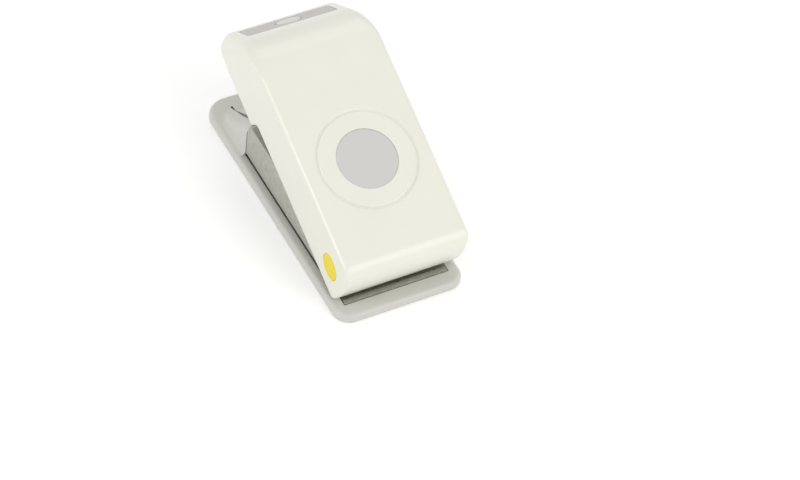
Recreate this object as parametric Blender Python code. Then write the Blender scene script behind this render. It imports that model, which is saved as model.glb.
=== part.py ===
"""Circle punch: a long hand lever pushes a round cutter down through a die plate.

Metres, +Z up, +X to the user's right, +Y from the paper mouth to the rear.
The origin is under the middle of the base. The punch stands open, as at rest.
"""

import math

import bmesh
import bpy
from mathutils import Matrix, Vector

MM = 0.001

# Driving sizes of the whole punch
CUT_DIAMETER = 25.4 * MM
BASE_LENGTH = 128.0 * MM
FRONT_LIP = 15.0 * MM
HINGE_HEIGHT = 19.9 * MM
LEVER_LENGTH = 118.0 * MM
LEVER_FRONT = 9.84 * MM
CUTTER_REACH = 33.2 * MM
OPEN_ANGLE = math.radians(22.24)
LEVER_SWING = math.radians(20.0)

# Clearances shared by all pieces
GAP = 0.3 * MM
SLIDE_GAP = 0.15 * MM
SWING_GAP = 0.6 * MM
OVERRUN = 2.0 * MM
ROUND_STEPS = 48
CORNER_STEPS = 5
SHARP_ANGLE = math.radians(34.0)

# Base tray
TRAY_FLOOR = 1.5 * MM
TRAY_TOP = 4.0 * MM
TRAY_FRONT_RADIUS = 7.0 * MM
TRAY_REAR_RADIUS = 9.5 * MM
TRAY_EDGE = 1.8 * MM
TRAY_FOOT_EDGE = 0.8 * MM
TRAY_LEDGE = 3.7 * MM
CHIP_HOLE_MARGIN = 2.3 * MM

# Raised block at the rear of the tray; its slope is (length share, height share) from its front
BLOCK_TOP = 21.8 * MM
BLOCK_FILLET = 2.4 * MM
BLOCK_SHOULDER = 5.5 * MM
BLOCK_CORNER = 9.0 * MM
BLOCK_REAR = 106.0 * MM
BLOCK_FILLET_SHARE = 0.35
BLOCK_SHOULDER_SHARE = 0.6
BLOCK_SLOPE_SHARES = (
    (0.0, 1.0), (0.06, 0.955), (0.14, 0.85), (0.25, 0.69), (0.36, 0.55), (0.47, 0.43),
    (0.58, 0.325), (0.69, 0.235), (0.79, 0.155), (0.88, 0.085), (0.95, 0.035), (1.0, 0.012),
)

# Channel and rails for the lock slider
CHEEK_THICKNESS = 6.2 * MM
CHANNEL_FLOOR = 1.0 * MM
RAIL_DEPTH = 1.6 * MM
LOCK_TRAVEL = 3.0 * MM
CHANNEL_WALL = 1.5 * MM

# Metal guide frame
FRAME_REAR = 79.4 * MM
FRAME_TOP = 22.6 * MM
FRAME_CHAMFER = 3.2 * MM
SLOT_HEIGHT = 1.5 * MM
EAR_THICKNESS = 4.8 * MM
NOTCH_REAR = 10.0 * MM
NOTCH_FLOOR = 13.4 * MM
TONGUE_WIDTH = 32.0 * MM
TONGUE_LENGTH = 9.1 * MM
TONGUE_TOP = 11.0 * MM
TOWER_WALL = 1.9 * MM
TOWER_LID = 1.5 * MM
GROOVE_FLOOR = 8.5 * MM
POCKET_FRONT = 56.0 * MM
POCKET_LENGTH = 8.2 * MM
POCKET_WIDTH = 11.6 * MM
POCKET_RIB = 2.0 * MM
POCKET_FLOOR = 9.0 * MM
POCKET_ROWS = 2
POCKET_COLUMNS = 3

# Die plate and the screws that hold it
DIE_SIDE_MARGIN = 1.5 * MM
DIE_FRONT_MARGIN = 7.0 * MM
CLAMP_EDGE = 6.0 * MM
CLAMP_DIAMETER = 4.0 * MM
CLAMP_HEAD_DIAMETER = 6.6 * MM
CLAMP_HEAD_HEIGHT = 1.2 * MM
CLAMP_DEPTH = 4.0 * MM
TRAY_SCREW_DIAMETER = 2.6 * MM
TRAY_SCREW_HEAD = 5.0 * MM
TRAY_SCREW_HEAD_HEIGHT = 1.2 * MM
TRAY_SCREW_EDGE = 3.5 * MM
TRAY_SCREW_FRONT = 4.0 * MM
TRAY_SCREW_PITCH = 58.0 * MM

# Hinge
PIN_DIAMETER = 5.0 * MM
PIN_MARGIN = 0.5 * MM
CAP_DIAMETER = 11.4 * MM
CAP_THICKNESS = 1.0 * MM
BUSH_WALL = 1.2 * MM
BUSH_LENGTH = 3.8 * MM

# Lever shell, in sizes measured from the hinge axis along and square to the lever
LEVER_TOP = 14.52 * MM
LEVER_WALL = 2.0 * MM
LEVER_TOP_WALL = 2.6 * MM
LEVER_EDGE = 1.7 * MM
LEVER_FRONT_RADIUS = 1.6 * MM
FRONT_EDGE = 3.2 * MM
FRONT_BULGE = 2.1 * MM
FRONT_BULGE_SHARE = 0.9
LEVER_REAR_RADIUS = 5.5 * MM
SKIRT_FRONT_LOW = 11.56 * MM
SKIRT_REAR_LOW = 17.5 * MM
SKIRT_TIP_LOW = 15.5 * MM
SKIRT_STEP = 69.0 * MM
SKIRT_STEP_SPAN = 5.2 * MM
SKIRT_RISE_START = 92.0 * MM
SLOPE_START = 78.6 * MM
SLOPE_RADIUS = 24.0 * MM
SLOPE_ANGLE = math.radians(56.0)
SLOPE_STEPS = 9
SLOPE_PARTS = 4
HEEL_LENGTH = 16.2 * MM
HEEL_DROP = 1.8 * MM

# Round pad and the disc that shows the size of the cut
PAD_DIAMETER = 41.25 * MM
PAD_DEPTH = 1.5 * MM
PAD_PROUD = 0.2 * MM
PAD_EDGE = 0.7 * MM
DISC_RECESS = 0.8 * MM
DISC_THICKNESS = 0.4 * MM

# Label plate on the rear slope
LABEL_MARGIN = 7.3 * MM
LABEL_HEIGHT = 11.6 * MM
LABEL_OFFSET = 9.6 * MM
LABEL_THICKNESS = 1.0 * MM
LABEL_CORNER = 1.2 * MM
BADGE_WIDTH = 10.8 * MM
BADGE_HEIGHT = 7.0 * MM
BADGE_THICKNESS = 0.4 * MM

# Latch ledge inside the lever's rear wall
LEDGE_WIDTH = 18.0 * MM
LEDGE_DEPTH = 3.2 * MM
LEDGE_THICKNESS = 1.5 * MM

# Steel bracket inside the lever
BRACKET_ROOM = 1.45 * MM
BRACKET_SHEET = 1.4 * MM
BRACKET_LENGTH = 61.0 * MM
CHEEK_LENGTH = 43.0 * MM
CHEEK_LOW = 3.0 * MM
EAR_RADIUS = 6.0 * MM
PRESSER_DIAMETER = 5.0 * MM
PRESSER_MARGIN = 1.1 * MM
BRACKET_SCREW_FRONT = 8.0 * MM
BRACKET_SCREW_PITCH = 50.0 * MM
BRACKET_SCREW_EDGE = 7.4 * MM
BRACKET_SCREW_DIAMETER = 2.4 * MM
BRACKET_SCREW_HEAD = 5.0 * MM
BRACKET_SCREW_HEAD_HEIGHT = 1.4 * MM
BRACKET_SCREW_DEPTH = 1.5 * MM

# Cutter, its plunger cap and the return spring
PENETRATION = 2.3 * MM
SHEAR_RELIEF = 1.2 * MM
STEM_DIAMETER = 12.0 * MM
CAP_CROWN = 2.0 * MM
CAP_HEIGHT = 8.0 * MM
CAP_WALL = 1.5 * MM
CAP_FLANGE = 2.0 * MM
CAP_FLANGE_THICKNESS = 1.5 * MM
CAP_SCREW_DIAMETER = 3.6 * MM
CAP_SCREW_HEAD = 8.0 * MM
CAP_SCREW_LENGTH = 9.5 * MM
CAP_SCREW_SINK = 0.1 * MM
SPRING_WIRE = 1.3 * MM
SPRING_TURNS = 4.5
SPRING_END_TURNS = 0.75
SPRING_END_PITCH_SHARE = 1.45
SPRING_STEPS = 10

# Lock slider
LOCK_PLATE_THICKNESS = 1.2 * MM
LOCK_FRONT = 92.0 * MM
LOCK_REAR = 106.3 * MM
WEDGE_REAR = 103.2 * MM
WEDGE_SINK = 0.4 * MM
WEDGE_SIDE_GAP = 1.4 * MM
WEDGE_STEPS = 6
LIP_FRONT = 101.0 * MM
LIP_THICKNESS = 0.8 * MM
HOOK_FRONT = 96.2 * MM
HOOK_THICKNESS = 3.2 * MM
HOOK_WIDTH = 17.0 * MM
HOOK_REACH = 2.4 * MM
HOOK_NOSE = 1.5 * MM
THUMB_WIDTH = 14.0 * MM
THUMB_FRONT = 101.0 * MM
THUMB_LENGTH = 8.6 * MM
THUMB_THICKNESS = 1.2 * MM
THUMB_RIDGE = 1.0 * MM
THUMB_RIDGE_WIDTH = 1.2 * MM

# Worked out from the sizes above
HINGE_Y = FRONT_LIP - BASE_LENGTH / 2
CLOSED_ANGLE = OPEN_ANGLE - LEVER_SWING
CUTTER_RADIUS = CUT_DIAMETER / 2
BORE_RADIUS = CUTTER_RADIUS + SLIDE_GAP
TOWER_RADIUS = BORE_RADIUS + TOWER_WALL
CAP_INNER = TOWER_RADIUS + GAP
CAP_OUTER = CAP_INNER + CAP_WALL
FLANGE_RADIUS = CAP_OUTER + CAP_FLANGE
GROOVE_RADIUS = FLANGE_RADIUS + GAP
SPRING_RADIUS = (CAP_INNER + FLANGE_RADIUS) / 2
BRACKET_WIDTH = 2 * (CAP_OUTER + BRACKET_ROOM + BRACKET_SHEET)
NOTCH_WIDTH = BRACKET_WIDTH + 2 * GAP
FRAME_WIDTH = NOTCH_WIDTH + 2 * EAR_THICKNESS
LEVER_WIDTH = FRAME_WIDTH + 2 * (SWING_GAP + LEVER_WALL)
BASE_WIDTH = FRAME_WIDTH + 2 * TRAY_LEDGE
CHANNEL_WIDTH = FRAME_WIDTH - 2 * CHEEK_THICKNESS
DIE_WIDTH = FRAME_WIDTH - 2 * DIE_SIDE_MARGIN
PIN_LENGTH = LEVER_WIDTH - 2 * (CAP_THICKNESS + PIN_MARGIN)
LABEL_WIDTH = LEVER_WIDTH - 2 * LABEL_MARGIN
FRAME_LOW = TRAY_TOP + SLOT_HEIGHT
BLOCK_FRONT = FRAME_REAR + GAP
TONGUE_REAR = FRAME_REAR + TONGUE_LENGTH
CHANNEL_FRONT = TONGUE_REAR + GAP + CHANNEL_WALL
CHANNEL_REAR = WEDGE_REAR + LOCK_TRAVEL + GAP
RAIL_TOP = CHANNEL_FLOOR + LOCK_PLATE_THICKNESS + 2 * GAP
RAIL_REAR = LOCK_REAR + LOCK_TRAVEL + GAP
LEVER_UNDER = LEVER_TOP - LEVER_TOP_WALL
WEB_TOP = LEVER_UNDER - GAP
WEB_UNDER = WEB_TOP - BRACKET_SHEET
PRESSER_RADIUS = PRESSER_DIAMETER / 2
PRESSER_RISE = WEB_UNDER - GAP - PRESSER_RADIUS


def lever_point(along, above, angle):
    """(y, z) from the foot of the hinge of a point fixed to the lever, with the lever at this angle."""
    y = along * math.cos(angle) - above * math.sin(angle)
    return y, HINGE_HEIGHT + along * math.sin(angle) + above * math.cos(angle)


PRESSER_OPEN_Z = lever_point(CUTTER_REACH, PRESSER_RISE, OPEN_ANGLE)[1] - PRESSER_RADIUS
PRESSER_CLOSED_Z = lever_point(CUTTER_REACH, PRESSER_RISE, CLOSED_ANGLE)[1] - PRESSER_RADIUS
STROKE = PRESSER_OPEN_Z - PRESSER_CLOSED_Z
CAP_TOP = PRESSER_OPEN_Z - GAP
CROWN_UNDER = CAP_TOP - CAP_CROWN
FLANGE_LOW = CAP_TOP - CAP_HEIGHT
TOWER_TOP = CROWN_UNDER - STROKE - GAP
CUTTER_TOP = TOWER_TOP - TOWER_LID - GAP
CUTTER_LOW = TRAY_TOP - PENETRATION + STROKE

# Colours and finishes: linear red, green, blue, then metallic and roughness
WHITE_PLASTIC = ((0.84, 0.84, 0.75), 0.0, 0.32)
PAD_PLASTIC = ((0.84, 0.84, 0.76), 0.0, 0.36)
GREY_INLAY = ((0.63, 0.62, 0.60), 0.0, 0.45)
LABEL_GREY = ((0.58, 0.57, 0.54), 0.0, 0.5)
BADGE_WHITE = ((0.69, 0.69, 0.62), 0.0, 0.4)
YELLOW_PLASTIC = ((0.86, 0.69, 0.10), 0.0, 0.35)
GREY_PLASTIC = ((0.55, 0.54, 0.50), 0.0, 0.45)
DARK_PLASTIC = ((0.40, 0.40, 0.37), 0.0, 0.45)
CAST_METAL = ((0.46, 0.46, 0.42), 0.85, 0.48)
PLATED_STEEL = ((0.60, 0.59, 0.56), 1.0, 0.32)
TOOL_STEEL = ((0.42, 0.42, 0.43), 1.0, 0.22)
SPRING_STEEL = ((0.35, 0.35, 0.36), 1.0, 0.28)
NYLON = ((0.72, 0.70, 0.62), 0.0, 0.5)


def clear_scene():
    for old in list(bpy.data.objects):
        bpy.data.objects.remove(old, do_unlink=True)


def pivot(name, location, tilt=0.0):
    """An empty that carries the pieces of one moving group, on its joint's axis."""
    empty = bpy.data.objects.new(name, None)
    bpy.context.scene.collection.objects.link(empty)
    empty.location = location
    empty.rotation_euler = (tilt, 0.0, 0.0)
    return empty


def finish(name, look):
    colour, metallic, roughness = look
    material = bpy.data.materials.new(name)
    material.use_nodes = True
    shader = material.node_tree.nodes["Principled BSDF"]
    shader.inputs["Base Color"].default_value = (*colour, 1.0)
    shader.inputs["Metallic"].default_value = metallic
    shader.inputs["Roughness"].default_value = roughness
    return material


def place(name, bm, parent):
    bmesh.ops.remove_doubles(bm, verts=bm.verts, dist=GAP / ROUND_STEPS)
    bmesh.ops.recalc_face_normals(bm, faces=bm.faces)
    mesh = bpy.data.meshes.new(name)
    bm.to_mesh(mesh)
    bm.free()
    obj = bpy.data.objects.new(name, mesh)
    bpy.context.scene.collection.objects.link(obj)
    obj.parent = parent
    return obj


def piece(name, bm, parent, look):
    obj = place(name, bm, parent)
    obj.data.materials.append(finish(name, look))
    obj.data.shade_smooth()
    obj.data.set_sharp_from_angle(angle=SHARP_ANGLE)
    return obj


def boolean(target, operation, tools):
    """Cuts or joins helper shapes, which are hidden from the render."""
    for number, bm in enumerate(tools):
        tool = place(f"{target.name}.{operation.lower()}.{number}", bm, target.parent)
        tool.hide_render = True
        tool.display_type = "WIRE"
        modifier = target.modifiers.new(tool.name, "BOOLEAN")
        modifier.operation = operation
        modifier.solver = "EXACT"
        modifier.object = tool


def cut(target, *tools):
    boolean(target, "DIFFERENCE", tools)


def join(target, *tools):
    boolean(target, "UNION", tools)


def loft(rings):
    """A closed solid through rings of the same number of points, from the lowest to the highest."""
    bm = bmesh.new()
    rows = [[bm.verts.new(point) for point in ring] for ring in rings]
    count = len(rows[0])
    for low, high in zip(rows, rows[1:]):
        for i in range(count):
            j = (i + 1) % count
            bm.faces.new((low[i], low[j], high[j], high[i]))
    bm.faces.new(list(reversed(rows[0])))
    bm.faces.new(rows[-1])
    return bm


def prism(outline, low, high):
    """An outline of (y, z) points drawn out along X."""
    return loft([[(x, y, z) for y, z in outline] for x in (low, high)])


def box(x, y, z):
    return prism([(y[0], z[0]), (y[1], z[0]), (y[1], z[1]), (y[0], z[1])], x[0], x[1])


def centred(width):
    return -width / 2, width / 2


def turned(profile, centre=(0.0, 0.0, 0.0), steps=ROUND_STEPS):
    """A closed outline of (radius, height) points spun round the vertical through centre."""
    bm = bmesh.new()
    verts = [bm.verts.new((r, 0.0, z)) for r, z in profile]
    edges = [bm.edges.new((a, b)) for a, b in zip(verts, verts[1:] + verts[:1])]
    bmesh.ops.spin(
        bm, geom=verts + edges, cent=(0.0, 0.0, 0.0), axis=(0.0, 0.0, 1.0),
        angle=math.tau, steps=steps, use_merge=True,
    )
    bmesh.ops.remove_doubles(bm, verts=bm.verts, dist=GAP / ROUND_STEPS)
    loose = [edge for edge in bm.edges if not edge.link_faces]
    bmesh.ops.delete(bm, geom=loose, context="EDGES")
    bmesh.ops.translate(bm, verts=bm.verts, vec=Vector(centre))
    return bm


def rod(radius, low, high, centre=(0.0, 0.0), steps=ROUND_STEPS):
    """An upright round bar."""
    profile = [(0.0, low), (radius, low), (radius, high), (0.0, high)]
    return turned(profile, (*centre, 0.0), steps)


def cross_rod(radius, low, high, along=0.0, above=0.0, steps=ROUND_STEPS):
    """A round bar that lies along X."""
    angles = [math.tau * step / steps for step in range(steps)]
    return prism(
        [(along + radius * math.cos(a), above + radius * math.sin(a)) for a in angles], low, high
    )


def arc(centre, radius, start, end, steps):
    """(y, z) points on an arc."""
    angles = [start + (end - start) * step / steps for step in range(steps + 1)]
    return [(centre[0] + radius * math.cos(a), centre[1] + radius * math.sin(a)) for a in angles]


def rounded_ring(front, rear, half, front_radius, rear_radius, height):
    """A rectangle with round corners, seen from above, at one height."""
    corners = (
        (half - front_radius, front + front_radius, front_radius, -0.25),
        (half - rear_radius, rear - rear_radius, rear_radius, 0.0),
        (rear_radius - half, rear - rear_radius, rear_radius, 0.25),
        (front_radius - half, front + front_radius, front_radius, 0.5),
    )
    ring = []
    for x, y, radius, turn in corners:
        start = math.tau * turn
        points = arc((x, y), radius, start, start + math.tau / 4, CORNER_STEPS)
        ring += [(px, py, height) for px, py in points]
    return ring


def quarter(steps):
    """(inset share, rise share) pairs round a quarter circle, from its side to its top."""
    angles = [math.pi / 2 * step / steps for step in range(steps + 1)]
    return [(1.0 - math.cos(a), math.sin(a)) for a in angles]


def countersunk(radius, head_radius, top, length, head_height, centre=(0.0, 0.0)):
    """A flat-headed screw whose head is uppermost."""
    profile = [
        (0.0, top), (head_radius, top), (radius, top - head_height),
        (radius, top - length), (0.0, top - length),
    ]
    return turned(list(reversed(profile)), (*centre, 0.0))


def tray_rings():
    front = -FRONT_LIP
    rear = BASE_LENGTH - FRONT_LIP
    half = BASE_WIDTH / 2
    levels = [(TRAY_FOOT_EDGE, 0.0), (0.0, TRAY_FOOT_EDGE)]
    levels += [
        (inset * TRAY_EDGE, TRAY_TOP - TRAY_EDGE + rise * TRAY_EDGE) for inset, rise in quarter(4)
    ]
    return [
        rounded_ring(
            front + inset, rear - inset, half - inset,
            TRAY_FRONT_RADIUS - inset, TRAY_REAR_RADIUS - inset, height,
        )
        for inset, height in levels
    ]


def block_slope(y):
    """Height of the block's top at y."""
    length = BLOCK_REAR - BLOCK_FRONT
    rise = BLOCK_TOP - TRAY_TOP
    share = (y - BLOCK_FRONT) / length
    for (low, high_a), (high, high_b) in zip(BLOCK_SLOPE_SHARES, BLOCK_SLOPE_SHARES[1:]):
        if share <= high:
            part = (share - low) / (high - low)
            return TRAY_TOP + rise * (high_a + (high_b - high_a) * part)
    return TRAY_TOP


def block_section(y):
    """Cross-section of the block: a hollow foot, an upright side and a round shoulder."""
    top = block_slope(y)
    rise = top - TRAY_TOP
    foot = min(BLOCK_FILLET, BLOCK_FILLET_SHARE * rise)
    shoulder = min(BLOCK_SHOULDER, BLOCK_SHOULDER_SHARE * rise)
    beyond = max(y - (BLOCK_REAR - BLOCK_CORNER), 0.0)
    half = FRAME_WIDTH / 2 - BLOCK_CORNER + math.sqrt(BLOCK_CORNER**2 - beyond**2)
    side = [(half + foot, TRAY_TOP - GAP)]
    side += [
        (half + foot - rise_share * foot, TRAY_TOP + inset * foot) for inset, rise_share in quarter(4)
    ]
    side += [
        (half - inset * shoulder, top - shoulder + rise_share * shoulder)
        for inset, rise_share in quarter(5)
    ]
    return [(x, y, z) for x, z in side] + [(-x, y, z) for x, z in reversed(side)]


def block_sections():
    length = BLOCK_REAR - BLOCK_FRONT
    return [block_section(BLOCK_FRONT + along * length) for along, height in BLOCK_SLOPE_SHARES]


def base_tray(parent):
    tray = piece("base_tray", loft(tray_rings()), parent, GREY_PLASTIC)
    join(tray, loft(block_sections()))
    high = BLOCK_TOP + OVERRUN
    pocket_rear = TONGUE_REAR + GAP
    die_half = centred(DIE_WIDTH + 2 * GAP)
    tongue_half = centred(TONGUE_WIDTH + 2 * GAP)
    die_front = -FRONT_LIP + DIE_FRONT_MARGIN - GAP
    cut(
        tray,
        box(die_half, (die_front, pocket_rear), (TRAY_FLOOR, TRAY_TOP + GAP)),
        box(tongue_half, (FRAME_REAR - OVERRUN, pocket_rear), (TRAY_FLOOR, TONGUE_TOP + GAP)),
        box(centred(CHANNEL_WIDTH), (CHANNEL_FRONT, CHANNEL_REAR), (CHANNEL_FLOOR, high)),
        box(centred(CHANNEL_WIDTH + 2 * RAIL_DEPTH), (CHANNEL_FRONT, RAIL_REAR), (CHANNEL_FLOOR, RAIL_TOP)),
        rod(CUTTER_RADIUS + CHIP_HOLE_MARGIN, -OVERRUN, TRAY_TOP, (0.0, CUTTER_REACH)),
    )
    for x, y in clamp_places():
        cut(tray, rod(CLAMP_HEAD_DIAMETER / 2 + GAP, -OVERRUN, TRAY_TOP, (x, y), ROUND_STEPS // 2))
    for x, y in tray_screw_places():
        cut(tray, flipped_screw(TRAY_SCREW_DIAMETER / 2, TRAY_SCREW_HEAD / 2, GAP, x, y))
    return tray


def clamp_places():
    y = FRAME_REAR + TONGUE_LENGTH / 2
    return [(x, y) for x in centred(TONGUE_WIDTH - 2 * CLAMP_EDGE)]


def tray_screw_places():
    front = TRAY_SCREW_FRONT
    sides = centred(DIE_WIDTH - 2 * TRAY_SCREW_EDGE)
    return [(x, y) for y in (front, front + TRAY_SCREW_PITCH) for x in sides]


def flipped_screw(radius, head_radius, margin, x, y):
    """A countersunk screw driven up from below, or with a margin the hole that it needs."""
    low = GAP - margin - (OVERRUN if margin else 0.0)
    shoulder = GAP + TRAY_SCREW_HEAD_HEIGHT
    top = TRAY_TOP - GAP + margin
    flat = GAP if margin else GAP
    profile = [(0.0, low), (head_radius + margin, low), (head_radius + margin, flat)]
    profile += [(radius + margin, shoulder), (radius + margin, top), (0.0, top)]
    if not margin:
        profile.remove((head_radius + margin, flat))
    return turned(profile, (x, y, 0.0), ROUND_STEPS // 2)


def die_plate(parent):
    low = TRAY_FLOOR + GAP
    front = -FRONT_LIP + DIE_FRONT_MARGIN
    bm = box(centred(DIE_WIDTH), (front, TONGUE_REAR), (low, TRAY_TOP))
    plate = piece("die_plate", bm, parent, PLATED_STEEL)
    cut(plate, rod(BORE_RADIUS, -OVERRUN, TRAY_TOP + OVERRUN, (0.0, CUTTER_REACH)))
    for x, y in clamp_places():
        cut(plate, rod(CLAMP_DIAMETER / 2 + GAP, -OVERRUN, TRAY_TOP + OVERRUN, (x, y), ROUND_STEPS // 2))
    for x, y in tray_screw_places():
        cut(plate, rod(TRAY_SCREW_DIAMETER / 2 + GAP, -OVERRUN, TRAY_TOP + OVERRUN, (x, y), ROUND_STEPS // 2))


def spacer_plate(parent):
    low = TRAY_TOP + GAP
    high = FRAME_LOW - GAP
    front = BLOCK_FRONT + GAP
    bm = box(centred(TONGUE_WIDTH), (front, TONGUE_REAR), (low, high))
    plate = piece("spacer_plate", bm, parent, PLATED_STEEL)
    for x, y in clamp_places():
        cut(plate, rod(CLAMP_DIAMETER / 2 + GAP, -OVERRUN, FRAME_LOW, (x, y), ROUND_STEPS // 2))


def frame_outline():
    """Side view of the guide frame: its nose is round about the hinge, and its face meets the open lever."""
    nose = LEVER_FRONT - LEVER_WALL - GAP
    turn = OPEN_ANGLE
    foot_y = (-nose + (HINGE_HEIGHT - FRAME_LOW) * math.sin(turn)) / math.cos(turn)
    deck = math.asin((FRAME_TOP - HINGE_HEIGHT) / nose)
    outline = [(foot_y, FRAME_LOW), (FRAME_REAR, FRAME_LOW), (FRAME_REAR, FRAME_TOP - FRAME_CHAMFER * 0.85)]
    outline += [(FRAME_REAR - FRAME_CHAMFER * 0.3, FRAME_TOP - FRAME_CHAMFER * 0.3)]
    outline += [(FRAME_REAR - FRAME_CHAMFER, FRAME_TOP)]
    outline += arc((0.0, HINGE_HEIGHT), nose, deck, math.pi + turn, 14)
    return outline


def pocket_boxes():
    top = FRAME_TOP + OVERRUN
    for row in range(POCKET_ROWS):
        y = POCKET_FRONT + row * (POCKET_LENGTH + POCKET_RIB)
        for column in range(POCKET_COLUMNS):
            x = (column - (POCKET_COLUMNS - 1) / 2) * (POCKET_WIDTH + POCKET_RIB)
            low, high = centred(POCKET_WIDTH)
            yield box((x + low, x + high), (y, y + POCKET_LENGTH), (POCKET_FLOOR, top))


def guide_frame(parent):
    half = centred(FRAME_WIDTH)
    frame = piece("guide_frame", prism(frame_outline(), *half), parent, CAST_METAL)
    tongue_y = (FRAME_REAR - OVERRUN, TONGUE_REAR)
    join(
        frame,
        box(centred(TONGUE_WIDTH), tongue_y, (FRAME_LOW, TONGUE_TOP)),
        rod(TOWER_RADIUS, GROOVE_FLOOR, TOWER_TOP, (0.0, CUTTER_REACH)),
    )
    ring = [
        (TOWER_RADIUS, GROOVE_FLOOR), (GROOVE_RADIUS, GROOVE_FLOOR),
        (GROOVE_RADIUS, TOWER_TOP + OVERRUN), (TOWER_RADIUS, TOWER_TOP + OVERRUN),
    ]
    nose_top = HINGE_HEIGHT + LEVER_FRONT
    cut(
        frame,
        turned(ring, (0.0, CUTTER_REACH, 0.0)),
        rod(BORE_RADIUS, FRAME_LOW - OVERRUN, TOWER_TOP - TOWER_LID, (0.0, CUTTER_REACH)),
        rod(STEM_DIAMETER / 2 + SLIDE_GAP, FRAME_LOW, TOWER_TOP + OVERRUN, (0.0, CUTTER_REACH)),
        box(centred(NOTCH_WIDTH), (-LEVER_FRONT, NOTCH_REAR), (NOTCH_FLOOR, nose_top)),
        cross_rod(PIN_DIAMETER / 2 + GAP, -FRAME_WIDTH, FRAME_WIDTH, 0.0, HINGE_HEIGHT, ROUND_STEPS // 2),
        *pocket_boxes(),
    )
    for x, y in clamp_places():
        high = FRAME_LOW + CLAMP_DEPTH + GAP
        cut(frame, rod(CLAMP_DIAMETER / 2 + GAP, FRAME_LOW - OVERRUN, high, (x, y), ROUND_STEPS // 2))


def clamp_screws(parent):
    """Two screws that pull the die plate, the spacer and the frame's tongue together."""
    radius = CLAMP_DIAMETER / 2
    head = CLAMP_HEAD_DIAMETER / 2
    low = TRAY_FLOOR - CLAMP_HEAD_HEIGHT
    profile = [(0.0, low), (head, low), (head, TRAY_FLOOR), (radius, TRAY_FLOOR)]
    profile += [(radius, FRAME_LOW + CLAMP_DEPTH), (0.0, FRAME_LOW + CLAMP_DEPTH)]
    for number, (x, y) in enumerate(clamp_places(), 1):
        piece(f"clamp_screw_{number}", turned(profile, (x, y, 0.0), ROUND_STEPS // 2), parent, PLATED_STEEL)


def tray_screws(parent):
    for number, (x, y) in enumerate(tray_screw_places(), 1):
        bm = flipped_screw(TRAY_SCREW_DIAMETER / 2, TRAY_SCREW_HEAD / 2, 0.0, x, y)
        piece(f"tray_screw_{number}", bm, parent, PLATED_STEEL)


def hinge_pin(parent):
    bm = cross_rod(PIN_DIAMETER / 2, *centred(PIN_LENGTH), 0.0, HINGE_HEIGHT, ROUND_STEPS // 2)
    piece("hinge_pin", bm, parent, PLATED_STEEL)


def return_spring(parent):
    """Closed at both ends, so the end turns lie flatter than the middle ones."""
    low = GROOVE_FLOOR + GAP + SPRING_WIRE / 2
    high = FLANGE_LOW - GAP - SPRING_WIRE / 2
    end_rise = SPRING_WIRE * SPRING_END_PITCH_SHARE * SPRING_END_TURNS
    middle = SPRING_TURNS - 2 * SPRING_END_TURNS
    pitch = (high - low - 2 * end_rise) / middle
    count = round(SPRING_TURNS * SPRING_STEPS)
    points = []
    for step in range(count + 1):
        turn = SPRING_TURNS * step / count
        started = min(turn, SPRING_END_TURNS)
        ended = max(turn - SPRING_END_TURNS - middle, 0.0)
        running = turn - started - ended
        share = SPRING_WIRE * SPRING_END_PITCH_SHARE
        z = low + started * share + running * pitch + ended * share
        angle = math.tau * turn
        points.append(Vector((SPRING_RADIUS * math.cos(angle), SPRING_RADIUS * math.sin(angle), z)))
    least = min(
        (points[i] - points[j]).length
        for i in range(len(points)) for j in range(i + SPRING_STEPS // 2, len(points))
    )
    print(f"return_spring: least gap to itself {(least - SPRING_WIRE) / MM:.2f} mm")
    curve = bpy.data.curves.new("return_spring", "CURVE")
    curve.dimensions = "3D"
    curve.bevel_depth = SPRING_WIRE / 2
    curve.bevel_resolution = 1
    curve.use_fill_caps = True
    spline = curve.splines.new("POLY")
    spline.points.add(len(points) - 1)
    for target, point in zip(spline.points, points):
        target.co = (*point, 1.0)
    spring = bpy.data.objects.new("return_spring", curve)
    bpy.context.scene.collection.objects.link(spring)
    spring.parent = parent
    spring.location = (0.0, CUTTER_REACH, 0.0)
    curve.materials.append(finish("return_spring", SPRING_STEEL))


def cutter(parent):
    """A round punch with a hollowed face, on a stem that its plunger cap is screwed to."""
    stem = STEM_DIAMETER / 2
    high = CROWN_UNDER - GAP
    profile = [(0.0, CUTTER_LOW), (CUTTER_RADIUS, CUTTER_LOW), (CUTTER_RADIUS, CUTTER_TOP)]
    profile += [(stem, CUTTER_TOP), (stem, high), (0.0, high)]
    body = piece("cutter", turned(profile), parent, TOOL_STEEL)
    span = CUTTER_RADIUS + OVERRUN
    hollow = (span * span + SHEAR_RELIEF * SHEAR_RELIEF) / (2 * SHEAR_RELIEF)
    centre = CUTTER_LOW + SHEAR_RELIEF - hollow
    opening = math.asin(span / hollow)
    face = arc((0.0, centre), hollow, math.pi / 2 - opening, math.pi / 2 + opening, 16)
    face += [(-span, CUTTER_LOW - OVERRUN), (span, CUTTER_LOW - OVERRUN)]
    screw_low = CAP_TOP - CAP_SCREW_SINK - CAP_SCREW_LENGTH
    cut(
        body,
        prism(face, -span, span),
        rod(CAP_SCREW_DIAMETER / 2 + GAP, screw_low - GAP, CAP_TOP, (0.0, 0.0), ROUND_STEPS // 2),
    )


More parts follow.
